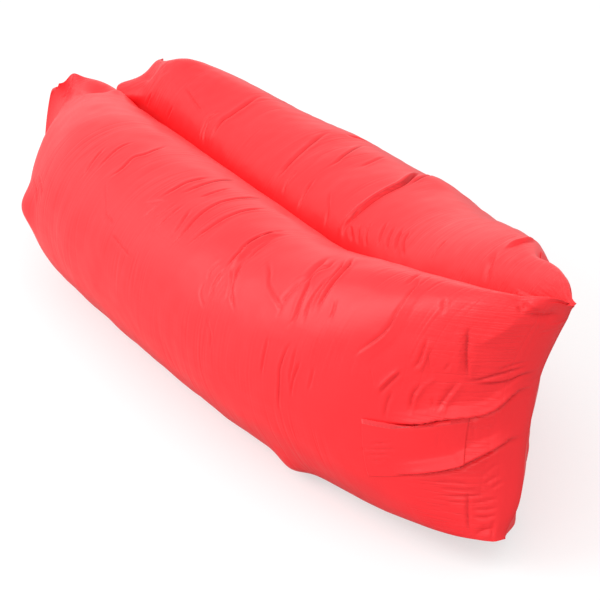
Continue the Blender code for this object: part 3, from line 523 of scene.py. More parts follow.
def airMoves(side, rows, columns):
    # A short cloth simulation: the chamber is held at both ends, along the seam and where it stands,
    # and air presses it out from inside. Gives how far each point moved, never more than the cap.
    setup = inflation
    shares, degrees = gridAt(setup["cageRows"], setup["cageColumns"])
    points = chamberSkin(side, shares, np.radians(degrees))
    relief = foldRelief(side, points, setup["foldWidth"])[0] - setup["slack"]
    cage = closedGrid("airCage", points + gridNormals(points, side) * relief[..., None], flip=side == rear)
    turn = (degrees + 90) % 360
    held = (shares < setup["heldShares"][0]) | (shares > setup["heldShares"][1])
    held = held | (abs(turn - 270) < setup["heldSeam"])
    held = held | (turn < setup["heldUnderside"]) | (turn > 360 - setup["heldUnderside"])
    group = cage.vertex_groups.new(name="held")
    group.add([int(n) for n in np.nonzero(held.reshape(-1))[0]], 1.0, "REPLACE")
    air = cage.modifiers.new("air", "CLOTH")
    air.settings.quality = setup["quality"]
    air.settings.mass = setup["mass"]
    air.settings.tension_stiffness = setup["tension"]
    air.settings.compression_stiffness = setup["compression"]
    air.settings.bending_stiffness = setup["bending"]
    air.settings.vertex_group_mass = "held"
    air.settings.use_pressure = True
    air.settings.uniform_pressure_force = setup["pressure"]
    air.settings.effector_weights.gravity = 0
    air.collision_settings.use_collision = False
    air.point_cache.frame_start, air.point_cache.frame_end = 1, setup["frames"]
    for number in range(1, setup["frames"] + 1):
        bpy.context.scene.frame_set(number)
    blown = cage.evaluated_get(bpy.context.evaluated_depsgraph_get()).data
    moved = np.zeros(points.size)
    blown.vertices.foreach_get("co", moved)
    moved = moved.reshape(points.shape) - points
    far = np.linalg.norm(moved, axis=-1, keepdims=True)
    moved *= np.minimum(1, setup["most"] / np.maximum(far, 1e-9))
    calm = np.clip(np.minimum(shares / setup["calm"][0], (1 - shares) / setup["calm"][1]), 0, 1)[..., None]
    moved *= calm ** 2 * (3 - 2 * calm)
    bpy.context.scene.frame_set(1)
    bpy.data.objects.remove(cage, do_unlink=True)
    alongWeights, roundWeights = (smoothWeights(rows, setup["cageRows"], False),
                                  smoothWeights(columns, setup["cageColumns"], True))
    return alongWeights @ moved.transpose(2, 0, 1) @ roundWeights.T


waves = {
    "seeds": (11, 12), "meanRadius": 0.235,      # of the chambers, so that degrees become metres
    "sizes": ((0.16, 0.0009), (0.06, 0.0002)),   # length and height of each family, in m
    "ends": (0.05, 0.04),                        # they fade out over these shares of the two ends
}


def wanderField(side, shares, degrees):
    # slow uneven waves over the cloth: sums of sines whose directions and phases come from one seed
    pick = np.random.default_rng(waves["seeds"][side])
    u = shares * lounger["length"]
    v = np.radians(degrees) * waves["meanRadius"]
    total = 0
    for size, amount in waves["sizes"]:
        for _ in range(5):
            turn, phase, stretch = pick.uniform(0, np.pi), pick.uniform(0, 6.28, 2), pick.uniform(0.7, 1.4)
            bend = np.sin((u * np.sin(turn) - v * np.cos(turn)) / size * 2.1 + phase[1])
            total = total + amount * np.sin((u * np.cos(turn) + v * np.sin(turn)) / size * 6.28 * stretch
                                            + phase[0] + 1.6 * bend) / 5 ** 0.5
    return total * np.clip(shares / waves["ends"][0], 0, 1) * np.clip((1 - shares) / waves["ends"][1], 0, 1)


def inflatedChamber(side):
    rows, columns = inflation["rows"], inflation["columns"]
    shares, degrees = gridAt(rows, columns)
    points = chamberSkin(side, shares, np.radians(degrees))
    # the second result is painted shade along the foot of the folds, for the cloth's colour
    height, creaseShade = foldRelief(side, points)
    height = height + wanderField(side, shares, degrees)
    points = points + gridNormals(points, side) * height[..., None]
    points = points + np.moveaxis(airMoves(side, rows, columns), 0, -1)
    points = pulled(points)
    points[..., 2] = np.maximum(points[..., 2], 0.0)
    return {"points": points, "outward": gridNormals(points, side), "creaseShade": creaseShade[..., None],
            "shares": shares[:, 0], "degrees": degrees[0]}


skins = [inflatedChamber(side) for side in (front, rear)]
print("chambers worked out:", skins[front]["points"].shape)


def between(side, shares, degrees, fields):
    # values of the finished skin, between the grid's points
    skin = skins[side]
    row = np.interp(shares, skin["shares"], np.arange(len(skin["shares"])))
    count = len(skin["degrees"])
    column = ((np.asarray(degrees, float) + 90) % 360) * count / 360 - 0.5
    i = np.clip(row.astype(int), 0, len(skin["shares"]) - 2)
    k = np.floor(column).astype(int)
    s, t = (row - i)[..., None], (column - k)[..., None]
    found = []
    for field in (skin[name] for name in fields):
        a, b = field[i, k % count], field[i + 1, k % count]
        c, d = field[i, (k + 1) % count], field[i + 1, (k + 1) % count]
        found.append((a * (1 - s) + b * s) * (1 - t) + (c * (1 - s) + d * s) * t)
    return found


def onSkin(side, shares, degrees, lift=0.0):
    # a point of the finished skin, raised along its own direction
    shares, degrees, lift = np.broadcast_arrays(shares, degrees, lift)
    place, outward = between(side, shares, degrees, ("points", "outward"))
    return place + unit(outward) * lift[..., None]


def markCreaseShade(piece, values):
    # the painted shade lines at the foot of the creases, as an attribute of the mesh for the cloth's colour
    amounts = np.zeros(len(piece.data.vertices))
    amounts[:values.size] = values.reshape(-1)
    piece.data.attributes.new("creaseShade", "FLOAT", "POINT").data.foreach_set("value", amounts)


# Materials

def colour(hexText):
    # an sRGB hex value as linear light
    values = [int(hexText[i:i + 2], 16) / 255 for i in (0, 2, 4)]
    return tuple(v / 12.92 if v <= 0.04045 else ((v + 0.055) / 1.055) ** 2.4 for v in values) + (1.0,)


def bandScale(spacingMm):
    # the bands of a wave texture stand 2 pi / 20 apart at scale 1
    return math.pi / 10 / (spacingMm / 1000)


def addNode(tree, kind, settings=(), inputs=()):
    # one shader node with its settings; an input is a socket to link from, or a value
    node = tree.nodes.new("ShaderNode" + kind)
    for key, value in dict(settings).items():
        setattr(node, key, value)
    for key, value in dict(inputs).items():
        socket = node.inputs[key]
        if isinstance(value, bpy.types.NodeSocket):
            tree.links.new(value, socket)
        else:
            socket.default_value = value
    return node


def newMaterial(name):
    # a material with its tree and its shader
    made = bpy.data.materials.new(name)
    made.use_nodes = True
    return made, made.node_tree, made.node_tree.nodes["Principled BSDF"]


taffeta = {
    "body": "FF2D33", "pale": "FF3238", "cloudMm": 286,   # patches of a barely paler red
    "creaseShade": "AE0F1A", "creaseShadeShare": 0.66,      # painted shade: the dark lines at the foot of the folds, and how far the colour goes towards it
    "roughness": (0.30, 0.42), "rubMm": 71.4, "specular": 0.27,
    "toothMm": 10,                                # the real threads are 0.15 mm and would not show
    "tooth": {"Distance": 0.00006, "Strength": 0.5},
    "crinkleMm": 9,                               # one soft bump of the crumpled cloth
    "crinkle": {"Distance": 0.0008, "Strength": 0.16},
    "hairRound": (30.0, 2.2, 1.0),                # per metre along and round: about 33 mm apart
    "hairLong": (5.0, 70.0, 1.0),                 # about 14 mm apart, lengthwise
    "hairWander": (0.35, 0.70), "hairWidth": 0.09,
    "hair": {"Distance": 0.0011, "Strength": 0.48},
    "patchMm": 222, "patches": (0.42, 0.62),    # the round ones come in patches
    "gathered": (1.90, 2.0),                      # the long ones start here, in m from the head
}


def coatedTaffeta():
    # Coated polyester taffeta: thin, tight and satin, so folds show mostly as soft white glints on
    # an even red, with painted shade lines at the foot of the sharp folds. The weave is only a faint tooth.
    look = taffeta
    made, tree, shader = newMaterial("coated polyester taffeta")
    place = addNode(tree, "TexCoord").outputs["Object"]
    uv = addNode(tree, "UVMap", {"uv_map": "metres"}).outputs["UV"]
    cloudy = addNode(tree, "TexNoise", inputs={
        "Vector": place, "Scale": 1000 / look["cloudMm"], "Detail": 3.0, "Roughness": 0.55})
    tint = addNode(tree, "Mix", {"data_type": "RGBA"}, {
        0: cloudy.outputs["Fac"], 6: colour(look["body"]), 7: colour(look["pale"])})
    # painted shade: the crease attribute darkens the base colour along the foot of the folds
    creaseShade = addNode(tree, "Attribute", {"attribute_name": "creaseShade"})
    shadeAmount = addNode(tree, "MapRange", inputs={
        "Value": creaseShade.outputs["Fac"], "To Max": look["creaseShadeShare"]})
    shadedTint = addNode(tree, "Mix", {"data_type": "RGBA"}, {
        0: shadeAmount.outputs["Result"], 6: tint.outputs[2], 7: colour(look["creaseShade"])})
    tree.links.new(shadedTint.outputs[2], shader.inputs["Base Color"])
    rub = addNode(tree, "TexNoise", inputs={
        "Vector": place, "Scale": 1000 / look["rubMm"], "Detail": 4.0})
    gloss = addNode(tree, "MapRange", inputs={
        "Value": rub.outputs["Fac"], "To Min": look["roughness"][0], "To Max": look["roughness"][1]})
    tree.links.new(gloss.outputs["Result"], shader.inputs["Roughness"])
    crinkle = addNode(tree, "TexNoise", inputs={
        "Vector": place, "Scale": 1000 / look["crinkleMm"] / 2, "Detail": 3.0, "Distortion": 0.4})
    coarse = addNode(tree, "Bump", inputs={"Height": crinkle.outputs["Fac"], **look["crinkle"]})
    # hair-fine creases: round the chambers, and lengthwise by the mouth, where the cloth is gathered
    patchy = addNode(tree, "TexNoise", inputs={
        "Vector": place, "Scale": 1000 / look["patchMm"], "Detail": 1.0})
    parts = addNode(tree, "SeparateXYZ", inputs={"Vector": uv})
    kinds = ((look["hairRound"], look["hairWander"][0], patchy.outputs["Fac"], look["patches"]),
             (look["hairLong"], look["hairWander"][1], parts.outputs["X"], look["gathered"]))
    hairs = []
    for scale, wander, amount, limits in kinds:
        stretched = addNode(tree, "VectorMath", {"operation": "MULTIPLY"}, {0: uv, 1: scale})
        lines = addNode(tree, "TexNoise", inputs={
            "Vector": stretched.outputs[0], "Scale": 1.0, "Detail": 2.0, "Distortion": wander})
        off = addNode(tree, "Math", {"operation": "SUBTRACT"}, {0: lines.outputs["Fac"], 1: 0.5})
        thin = addNode(tree, "Math", {"operation": "ABSOLUTE"}, {0: off.outputs[0]})
        hair = addNode(tree, "MapRange", inputs={
            "Value": thin.outputs[0], "From Min": 0.0, "From Max": look["hairWidth"]})
        where = addNode(tree, "MapRange", inputs={
            "Value": amount, "From Min": limits[0], "From Max": limits[1]})
        hairs.append(addNode(tree, "Math", {"operation": "MULTIPLY"}, {
            0: hair.outputs["Result"], 1: where.outputs["Result"]}))
    together = addNode(tree, "Math", {"operation": "ADD"}, {
        0: hairs[0].outputs[0], 1: hairs[1].outputs[0]})
    creased = addNode(tree, "Bump", inputs={
        "Height": together.outputs[0], "Normal": coarse.outputs["Normal"], **look["hair"]})
    weaves = [addNode(tree, "TexWave", {"bands_direction": axis}, {
        "Vector": uv, "Scale": bandScale(look["toothMm"]), "Distortion": 0.0}) for axis in ("X", "Y")]
    cross = addNode(tree, "Math", {"operation": "ADD"}, {
        0: weaves[0].outputs["Fac"], 1: weaves[1].outputs["Fac"]})
    fine = addNode(tree, "Bump", inputs={
        "Height": cross.outputs[0], "Normal": creased.outputs["Normal"], **look["tooth"]})
    tree.links.new(fine.outputs["Normal"], shader.inputs["Normal"])
    shader.inputs["Specular IOR Level"].default_value = look["specular"]
    return made


ribbedWebbing = {
    "low": "EE222B", "high": "FA2A33",
    "ribMm": 11.2, "pickMm": 9.2,    # the real ribs are 1.5 mm and would not show
    "weave": {"Distance": 0.0004, "Strength": 0.8},
    "roughness": 0.72, "sheen": 0.3,
}


def webbingMaterial():
    # Polyester webbing: matt, with a coarse ribbed weave across its width.
    look = ribbedWebbing
    made, tree, shader = newMaterial("polyester webbing")
    uv = addNode(tree, "UVMap", {"uv_map": "metres"}).outputs["UV"]
    rib, pick = [addNode(tree, "TexWave", {"bands_direction": axis}, {
        "Vector": uv, "Scale": bandScale(look[spacing])}) for axis, spacing in (("X", "ribMm"), ("Y", "pickMm"))]
    weave = addNode(tree, "Math", {"operation": "MULTIPLY"}, {
        0: rib.outputs["Fac"], 1: pick.outputs["Fac"]})
    tint = addNode(tree, "Mix", {"data_type": "RGBA"}, {
        0: weave.outputs[0], 6: colour(look["low"]), 7: colour(look["high"])})
    tree.links.new(tint.outputs[2], shader.inputs["Base Color"])
    bump = addNode(tree, "Bump", inputs={"Height": weave.outputs[0], **look["weave"]})
    tree.links.new(bump.outputs["Normal"], shader.inputs["Normal"])
    shader.inputs["Roughness"].default_value = look["roughness"]
    shader.inputs["Sheen Weight"].default_value = look["sheen"]
    return made


mouldedAcetal = {
    "dark": "1B1B1D", "light": "252527", "cloudMm": 16.7, "roughness": (0.34, 0.46),
    "grainMm": 0.625, "grain": {"Distance": 0.00006, "Strength": 0.5},   # the pits of the spark erosion
}


def acetal():
    # Moulded black acetal: dense and slightly satin, with the fine grain of a spark-eroded mould.
    look = mouldedAcetal
    made, tree, shader = newMaterial("moulded black acetal")
    place = addNode(tree, "TexCoord").outputs["Object"]
    grain = addNode(tree, "TexNoise", inputs={
        "Vector": place, "Scale": 1000 / look["grainMm"], "Detail": 2.0})
    cloudy = addNode(tree, "TexNoise", inputs={
        "Vector": place, "Scale": 1000 / look["cloudMm"], "Detail": 3.0})
    tint = addNode(tree, "Mix", {"data_type": "RGBA"}, {
        0: cloudy.outputs["Fac"], 6: colour(look["dark"]), 7: colour(look["light"])})
    tree.links.new(tint.outputs[2], shader.inputs["Base Color"])
    gloss = addNode(tree, "MapRange", inputs={
        "Value": cloudy.outputs["Fac"], "To Min": look["roughness"][0], "To Max": look["roughness"][1]})
    tree.links.new(gloss.outputs["Result"], shader.inputs["Roughness"])
    bump = addNode(tree, "Bump", inputs={"Height": grain.outputs["Fac"], **look["grain"]})
    tree.links.new(bump.outputs["Normal"], shader.inputs["Normal"])
    return made


polyethylene = {
    "dull": "DDE0E2", "milky": "ECEEEF", "cloudMm": 33.3,
    "ripple": {"Distance": 0.001, "Strength": 0.4}, "roughness": 0.28,
}


def linerFilm():
    # Polyethylene film: milky, smooth and soft, a little glossier than the cloth round it.
    look = polyethylene
    made, tree, shader = newMaterial("polyethylene liner film")
    place = addNode(tree, "TexCoord").outputs["Object"]
    cloudy = addNode(tree, "TexNoise", inputs={
        "Vector": place, "Scale": 1000 / look["cloudMm"], "Detail": 3.0})
    tint = addNode(tree, "Mix", {"data_type": "RGBA"}, {
        0: cloudy.outputs["Fac"], 6: colour(look["dull"]), 7: colour(look["milky"])})
    tree.links.new(tint.outputs[2], shader.inputs["Base Color"])
    bump = addNode(tree, "Bump", inputs={"Height": cloudy.outputs["Fac"], **look["ripple"]})
    tree.links.new(bump.outputs["Normal"], shader.inputs["Normal"])
    shader.inputs["Roughness"].default_value = look["roughness"]
    return made


cloth, webbing, plastic, film = coatedTaffeta(), webbingMaterial(), acetal(), linerFilm()
for name in ("buckle_socket", "buckle_plug", "prong_left", "prong_right"):
    for holder in frame["nodes"][name].material_slots:
        holder.material = plastic


def finished(piece, look, body, nodes):
    # gives a piece its material in one slot and its body, and hides the nodes that it stands for
    piece.data.materials.clear()
    piece.data.materials.append(look)
    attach(piece, body)
    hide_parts(*nodes)
    return piece


# Chambers and the film liners inside them

fullRound = 1.42   # metres once round a full chamber
liners = {
    "rows": slice(12, -30, 6), "columns": slice(2, None, 5),   # those of the skin that the film follows
    "depth": 0.012, "leastArm": 0.03,
    "shares": (0.0, 0.10, 0.70, 0.90, 1.0),
    "inwards": (0.5, 0.12, 0.04, 0.42, 0.6),   # how far towards the middle, at the least
    "lower": 0.15, "lowerLeast": 0.05,         # and how far down from its top and up from its bottom
}


def buildChambers():
    # A chamber is its skin as it is. Its liner is every few rows of that skin, drawn in towards the
    # line half way to the far side.
    for side, name in ((front, "front"), (rear, "rear")):
        skin = skins[side]
        size = (lounger["length"], fullRound)
        chamber = closedGrid(name + "Chamber", skin["points"], flip=side == rear, size=size)
        # the painted shade lines go onto the chamber as an attribute
        markCreaseShade(chamber, skin["creaseShade"])
        finished(chamber, cloth, "lounger", [name + "_chamber_shell"])
        around = skin["points"][liners["rows"], liners["columns"]]
        middle = (around + around[:, ::-1]) / 2     # half way to the far side at the same level
        arm = np.linalg.norm(around - middle, axis=-1, keepdims=True)
        inwards = np.interp(skin["shares"][liners["rows"]], liners["shares"], liners["inwards"])[:, None, None]
        depth = np.maximum(liners["depth"] / np.maximum(arm, liners["leastArm"]), inwards)
        inside = middle + (around - middle) * (1 - depth)
        lower = np.maximum(liners["lower"] * inwards, liners["lowerLeast"])
        inside[..., 2:] += (inside.mean(1, keepdims=True) - inside)[..., 2:] * lower
        liner = closedGrid(name + "Liner", inside, flip=side == rear, size=size)
        finished(liner, film, "lounger", [name + "_bladder"])


buildChambers()
print("chambers and liners made")


# Centre tape, head bindings and the peg loop

seamParts = {
    "tapeWidth": 0.024, "tapeThickness": 0.0008, "tapeShares": (0.09, 0.985),
    "bindingWidth": 0.011, "bindingThickness": 0.0055, "bindingDegrees": (-60, 66), "bindingOut": 0.0005,
    "loopWidth": 0.020, "loopThickness": 0.0014, "loopRadius": 0.012, "loopFoot": 0.006,
    "loopDegrees": (-36.0, -18.0), "loopLift": 0.0030,
}
bandSection = {"count": 16, "powers": (6.0, 2.5)}   # points round it; how square its edges and faces are


def ribbon(name, line, across, width, thickness):
    # A flat band carried along a line of points, with its width along across. Its section follows a
    # superellipse, started from its underside.
    count, (edges, faces) = bandSection["count"], bandSection["powers"]
    turn = np.radians(-90 + (np.arange(count) + 0.5) * 360 / count)
    x = np.sign(np.cos(turn)) * abs(np.cos(turn)) ** (2 / edges) * width / 2
    y = np.sign(np.sin(turn)) * abs(np.sin(turn)) ** (2 / faces) * thickness / 2
    line = np.asarray(line, float)
    ahead = unit(np.gradient(line, axis=0))
    across = unit(across - (across * ahead).sum(-1, keepdims=True) * ahead)
    out = np.cross(ahead, across)
    loops = line[:, None] + across[:, None] * x[None, :, None] + out[:, None] * y[None, :, None]
    length = np.linalg.norm(np.diff(line, axis=0), axis=1).sum()
    return closedGrid(name, loops, size=(length, 2 * (width + thickness)))


def seamPlace(share, across, z):
    # a point of the centre seam's own sheet, or beside it
    x, y, _, _ = seamSheet(share, z)
    return np.stack(np.broadcast_arrays(x, y + across, z), -1)


def headEdge(side, degrees):
    # the sewn end of a chamber, half way between its inner and its outer side
    return (onSkin(side, 0.0, degrees) + onSkin(side, 0.0, 180 - degrees)) / 2


def buildSeamParts():
    # ribbons: one up the valley between the chambers, one round each sewn end, and the peg loop
    form = seamParts
    share = np.linspace(*form["tapeShares"], 120)
    line = seamPlace(share, 0.0, sharedHeights(share)[0])
    tape = ribbon("centreTape", line, np.array([[0.0, 0.0, 1.0]]), form["tapeWidth"], form["tapeThickness"])
    finished(tape, webbing, "lounger", ["centre_seam_tape"])
    along = np.array([[0.0, 1.0, 0.0]])
    for side, name in ((front, "Front"), (rear, "Rear")):
        edge = headEdge(side, np.linspace(*form["bindingDegrees"], 60)) - [form["bindingOut"], 0, 0]
        binding = ribbon("headBinding" + name, edge, along, form["bindingWidth"], form["bindingThickness"])
        finished(binding, webbing, "lounger", ["head_seam_binding_" + name.lower()])
    edge = headEdge(front, np.array(form["loopDegrees"]))
    rise = unit(edge[1] - edge[0])
    out = unit(np.array((-rise[2], 0.0, rise[0])))
    seat = edge.mean(0) + out * form["loopLift"]
    radius, foot = form["loopRadius"], form["loopFoot"]
    turn = np.linspace(0, np.pi, 24)
    # a half circle that stands on two feet, which run on a little way along the seam
    up = np.concatenate(([-radius - foot, -radius - foot / 2], -np.cos(turn) * radius,
                         [radius + foot / 2, radius + foot]))
    away = np.concatenate(([0.0, 0.0002], np.sin(turn) * radius + 0.0007, [0.0002, 0.0]))
    line = seat + up[:, None] * rise + away[:, None] * out
    loop = ribbon("pegLoop", line, along, form["loopWidth"], form["loopThickness"])
    finished(loop, webbing, "lounger", ["peg_loop"])


buildSeamParts()
print("seam parts made")


# Side pocket, with its hem

pocket = {
    "shares": (0.9115, 0.9855),
    "top": (-5.0, -5.0, -3.0, 0.5), "bottom": (-35.0, -32.0, -27.5, -21.0),   # degrees, from left to right
    "thickness": 0.0007, "lift": 0.0006, "gape": 0.004,
    "hemWidth": 0.010, "hemThickness": 0.0014, "hemDegrees": (0.3, 2.4),      # below the top
    "points": 110, "hemPoints": 60,
}


def slab(name, outer, inner, size, flip=False):
    # a thin closed sheet between two grids of points
    return closedGrid(name, np.concatenate((outer, inner[:, ::-1]), 1), flip=flip, size=size)


def pocketSpan(count):
    # along the pocket: shares, the degrees of its top and bottom edge, and how far its top stands off
    across = np.linspace(0, 1, count)
    top, bottom = (np.interp(across, np.linspace(0, 1, 4), pocket[edge]) for edge in ("top", "bottom"))
    return np.linspace(*pocket["shares"], count), top, bottom, pocket["gape"] * np.sin(np.pi * across) ** 0.8


def pocketGrid(lift):
    # a patch of the skin between the two edges, which stands off more and more towards its top
    share, top, bottom, gape = (values[:, None] for values in pocketSpan(pocket["points"]))
    up = np.linspace(0, 1, pocket["points"])[None]
    return onSkin(front, share, bottom + (top - bottom) * up, lift + gape * np.sin(np.pi / 2 * up) ** 2)


def buildPocket():
    face = pocketGrid(pocket["lift"] + pocket["thickness"])
    panel = slab("sidePocket", face, pocketGrid(pocket["lift"]), (0.2, 0.5))
    finished(panel, cloth, "lounger", ["side_pocket"])
    share, top, _, gape = pocketSpan(pocket["hemPoints"])
    lift = pocket["lift"] + pocket["thickness"] / 2 + gape
    line, below = (onSkin(front, share, top - down, lift) for down in pocket["hemDegrees"])
    hem = ribbon("pocketHem", (line + below) / 2, unit(line - below), pocket["hemWidth"], pocket["hemThickness"])
    finished(hem, webbing, "lounger", ["pocket_hem"])


buildPocket()
print("pocket made")


# Mouth: web at the seam's end, collar, roll, straps

web = {"shares": (0.936, 0.994), "rise": 0.024, "top": 0.86, "half": 0.0004, "width": 0.13}
collar = {
    "shares": (0.885, 1.0), "wrap": (1.0, 0.9905),   # over the rear chamber, then round the front one's end
    "degrees": (-72.0, 72.0), "thickness": 0.0016, "lift": 0.0004,
    "tuck": (0.0002, -0.0032),                       # its edge goes under the front chamber's skin
    "rows": (50, 24), "columns": 320,
}


def buildWeb():
    # a strip of the sheet between the chambers, from just over their middle nearly to their top
    share = np.linspace(*web["shares"], 12)[:, None]
    middle, half = sharedHeights(share)
    z = middle + web["rise"] + (half * web["top"] - web["rise"]) * np.linspace(0, 1, 14)[None]
    sides = [pulled(seamPlace(share, across, z)) for across in (-web["half"], web["half"])]
    sheet = slab("seamEndWeb", sides[0], sides[1], (web["width"], 0.4))
    finished(sheet, cloth, "lounger", ["seam_end_web"])


def buildCollar():
    # rows over the end of the rear chamber, then over the mouth line and a little way under the front one
    degree = np.linspace(*collar["degrees"], collar["columns"])[None]
    back = np.linspace(*collar["shares"], collar["rows"][0])[:, None]
    wrap = np.linspace(*collar["wrap"], collar["rows"][1])[:, None]
    tuck = np.linspace(*collar["tuck"], collar["rows"][1])[:, None]
    layers = [np.concatenate((onSkin(rear, back, degree, collar["lift"] + lift),
                              onSkin(front, wrap, degree, tuck + lift)), 0) for lift in (collar["thickness"], 0.0)]
    sheet = slab("mouthCollar", layers[0], layers[1], (0.3, 1.0), flip=True)
    # the painted shade lines of the skins under it carry over onto the collar
    collarShade = [between(side, *np.broadcast_arrays(part, degree), ("creaseShade",))[0]
             for side, part in ((rear, back), (front, wrap))]
    collarShade = np.concatenate(collarShade, 0)[..., 0]
    markCreaseShade(sheet, np.concatenate((collarShade, 0 * collarShade), 1))   # no painted shade on its inner face
    finished(sheet, cloth, "lounger", ["mouth_collar"])


def sharesPerMetre(share, degrees):
    # how much of the length one metre along the rear chamber is
    here, there = onSkin(rear, share, degrees), onSkin(rear, share + 1e-3, degrees)
    return 1e-3 / np.linalg.norm(there - here, axis=-1)


roll = {
    "share": 0.9125, "degrees": 58.0, "width": 0.056, "thickness": 0.022, "seat": 0.0022,
    "lap": 0.0009, "lapStart": 0.6,              # one thickness of cloth, and where the last turn ends
    "pull": 0.0006, "pullWaves": (40, 13),
    "stripWidth": 0.024, "stripThickness": 0.0012, "stripShort": 3, "stripGap": 0.0001,
}


def buildRoll():
    # A flattened spiral of cloth on the rear skin: the section is an oval that winds outwards by one
    # thickness a turn, puckered a little along its length.
    degree = np.linspace(-roll["degrees"], roll["degrees"], 90)[:, None]
    turn = np.linspace(0, 2 * np.pi, 48, endpoint=False) + np.pi / 48 - np.pi / 2
    lap = roll["lap"] * (((turn + np.pi / 2) / (2 * np.pi) + roll["lapStart"]) % 1.0 - 1.0)
    many, few = (np.sin(np.radians(degree) * count) for count in roll["pullWaves"])
    middle = roll["seat"] + roll["thickness"] / 2
    share = roll["share"] + sharesPerMetre(roll["share"], degree) * (roll["width"] / 2 + lap) * np.cos(turn)
    lift = middle + (roll["thickness"] / 2 + lap + roll["pull"] * many * few) * np.sin(turn)
    wound = closedGrid("mouthRoll", onSkin(rear, share, degree, lift), flip=True, size=(0.5, 0.14))
    finished(wound, cloth, "lounger", ["mouth_roll"])
    # two flat strips, one in each lip of the mouth, lie on each other in the roll's core
    degree = np.linspace(-1, 1, 70)[:, None] * (roll["degrees"] - roll["stripShort"])
    aside = roll["stripWidth"] * np.linspace(-0.5, 0.5, 10)[None]
    share = roll["share"] + sharesPerMetre(roll["share"], degree) * aside
    for name, low in (("Inner", -roll["stripThickness"] - roll["stripGap"]), ("Outer", roll["stripGap"])):
        faces = [onSkin(rear, share, degree, middle + low + thick) for thick in (roll["stripThickness"], 0.0)]
        strip = slab("stiffenerStrip" + name, faces[0], faces[1], (0.5, 0.05), flip=True)
        finished(strip, plastic, "lounger", ["stiffener_strip_" + name.lower()])


straps = {
    "width": 0.025, "thickness": 0.0013, "lift": 0.0046,
    "degrees": (60, 18), "beside": 0.019,             # from the roll's ends to the buckle, off its edge
    "buckleRise": 0.002, "faces": (0.0143, 0.042),    # where the buckle's upper and lower bars are, from its middle
    "bar": ((0.030, 0.004), (0.012, 0.0055), (0.0, 0.0045)),   # up and inwards of a bar: the strap's last stops
}


def buckleAxes():
    # the buckle's own axes, from the joint that pulls the plug out and the prongs' hinges
    joints = {joint["name"]: joint for joint in frame["record"]["behaviour"]["joints"]}
    up = np.array(joints["plug_release"]["axis"], float)
    out = np.array(joints["prong_right_squeeze"]["axis"], float)
    middle = (np.array(joints["prong_left_squeeze"]["pos_m"]) + np.array(joints["prong_right_squeeze"]["pos_m"])) / 2
    return middle + up * straps["buckleRise"], np.cross(out, up), out, up


def buildStraps():
    # each strap lies on the rear skin beside the roll, then lifts to its bar of the buckle
    origin, across, out, up = buckleAxes()
    for name, end, face in (("Upper", 1, straps["faces"][0]), ("Lower", -1, straps["faces"][1])):
        degree = np.linspace(*straps["degrees"], 30) * end
        share = roll["share"] - sharesPerMetre(roll["share"], degree) * (roll["width"] / 2 + straps["beside"])
        run = onSkin(rear, share, degree, straps["lift"])
        bar = [origin + end * up * (face + rise) - out * inwards for rise, inwards in straps["bar"]]
        line = routeThrough(np.concatenate((run[::4], bar)), 60)
        strap = ribbon("strap" + name, line, across[None], straps["width"], straps["thickness"])
        finished(strap, webbing, "lounger", ["roll_strap_" + name.lower()])
        if end > 0:
            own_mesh(strap)


buildWeb()
buildCollar()
buildRoll()
buildStraps()
print("mouth made")


# Floor, lights and camera

studio = {
    "focal": 1710.1, "across": 600, "elevation": 25.80, "azimuth": 67.32, "distance": 4.1315,   # focal in pixels
    "base": (0.0, -0.003, 0.25), "right": 0.0502, "up": -0.1033,
    "surround": 0.93, "floor": "B8B8B8", "floorGlow": 0.55,
    "lights": (   # power, size, place, aim
        ("overhead", 5.0, 1.6, (0.6, -0.2, 3.0), (0.1, 0.0, 0.2)),
        ("leftFront", 12.0, 1.6, (-1.4, -2.6, 2.2), (-0.1, -0.1, 0.2)),
        ("rightFront", 14.0, 1.6, (2.6, -2.2, 1.2), (0.8, 0.0, 0.3)),
        ("front", 54.0, 2.4, (-0.3, -3.3, 1.9), (0.2, 0.0, 0.3))),
}


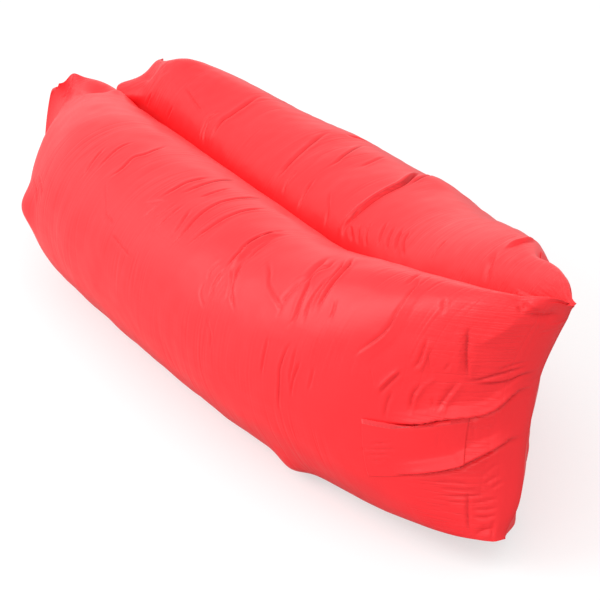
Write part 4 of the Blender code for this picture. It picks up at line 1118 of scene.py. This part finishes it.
def buildStudio():
    # pale floor and surround, large soft lamps and the camera of the picture
    bpy.context.scene.view_settings.view_transform = "Standard"
    tilt, turn = math.radians(studio["elevation"]), math.radians(studio["azimuth"])
    back = Vector((math.sin(turn) * math.cos(tilt), -math.cos(turn) * math.cos(tilt), math.sin(tilt)))
    right = Vector((math.cos(turn), math.sin(turn), 0))
    up = back.cross(right)
    lens = bpy.data.cameras.new("camera")
    lens.sensor_width, lens.lens = 36.0, 36.0 * studio["focal"] / studio["across"]
    lens.clip_end = 50
    camera = bpy.data.objects.new("camera", lens)
    camera.matrix_world = Matrix((right, up, back)).transposed().to_4x4()
    camera.location = Vector(studio["base"]) + right * studio["right"] + up * studio["up"] + back * studio["distance"]
    bpy.context.collection.objects.link(camera)
    bpy.context.scene.camera = camera

    made, tree, shader = newMaterial("pale studio floor")
    rays = addNode(tree, "LightPath")
    glow = addNode(tree, "Math", {"operation": "MULTIPLY"}, {
        0: rays.outputs["Is Camera Ray"], 1: studio["floorGlow"]})
    shader.inputs["Base Color"].default_value = colour(studio["floor"])
    shader.inputs["Roughness"].default_value = 0.9
    shader.inputs["Specular IOR Level"].default_value = 0.0
    shader.inputs["Emission Color"].default_value = (1, 1, 1, 1)
    tree.links.new(glow.outputs[0], shader.inputs["Emission Strength"])
    bpy.ops.mesh.primitive_plane_add(size=40, location=(0, 0, -0.0005))
    floor = bpy.context.object
    floor.name = "floor"
    floor.data.materials.append(made)

    world = bpy.data.worlds.new("surround")
    world.use_nodes = True
    bpy.context.scene.world = world
    tree = world.node_tree
    rays = addNode(tree, "LightPath")
    seen = addNode(tree, "Math", {"operation": "MAXIMUM"}, {
        0: rays.outputs["Is Camera Ray"], 1: rays.outputs["Is Transmission Ray"]})
    level = addNode(tree, "MapRange", inputs={
        "Value": seen.outputs[0], "To Min": studio["surround"], "To Max": 1.0})
    tree.links.new(level.outputs["Result"], tree.nodes["Background"].inputs["Strength"])
    tree.nodes["Background"].inputs["Color"].default_value = (1, 1, 1, 1)

    for name, power, size, place, aim in studio["lights"]:
        lamp = bpy.data.lights.new(name, "AREA")
        lamp.energy, lamp.size = power, size
        item = bpy.data.objects.new(name, lamp)
        item.location = place
        item.rotation_euler = (Vector(aim) - Vector(place)).to_track_quat("-Z", "Y").to_euler()
        bpy.context.collection.objects.link(item)


buildStudio()
print("studio made")
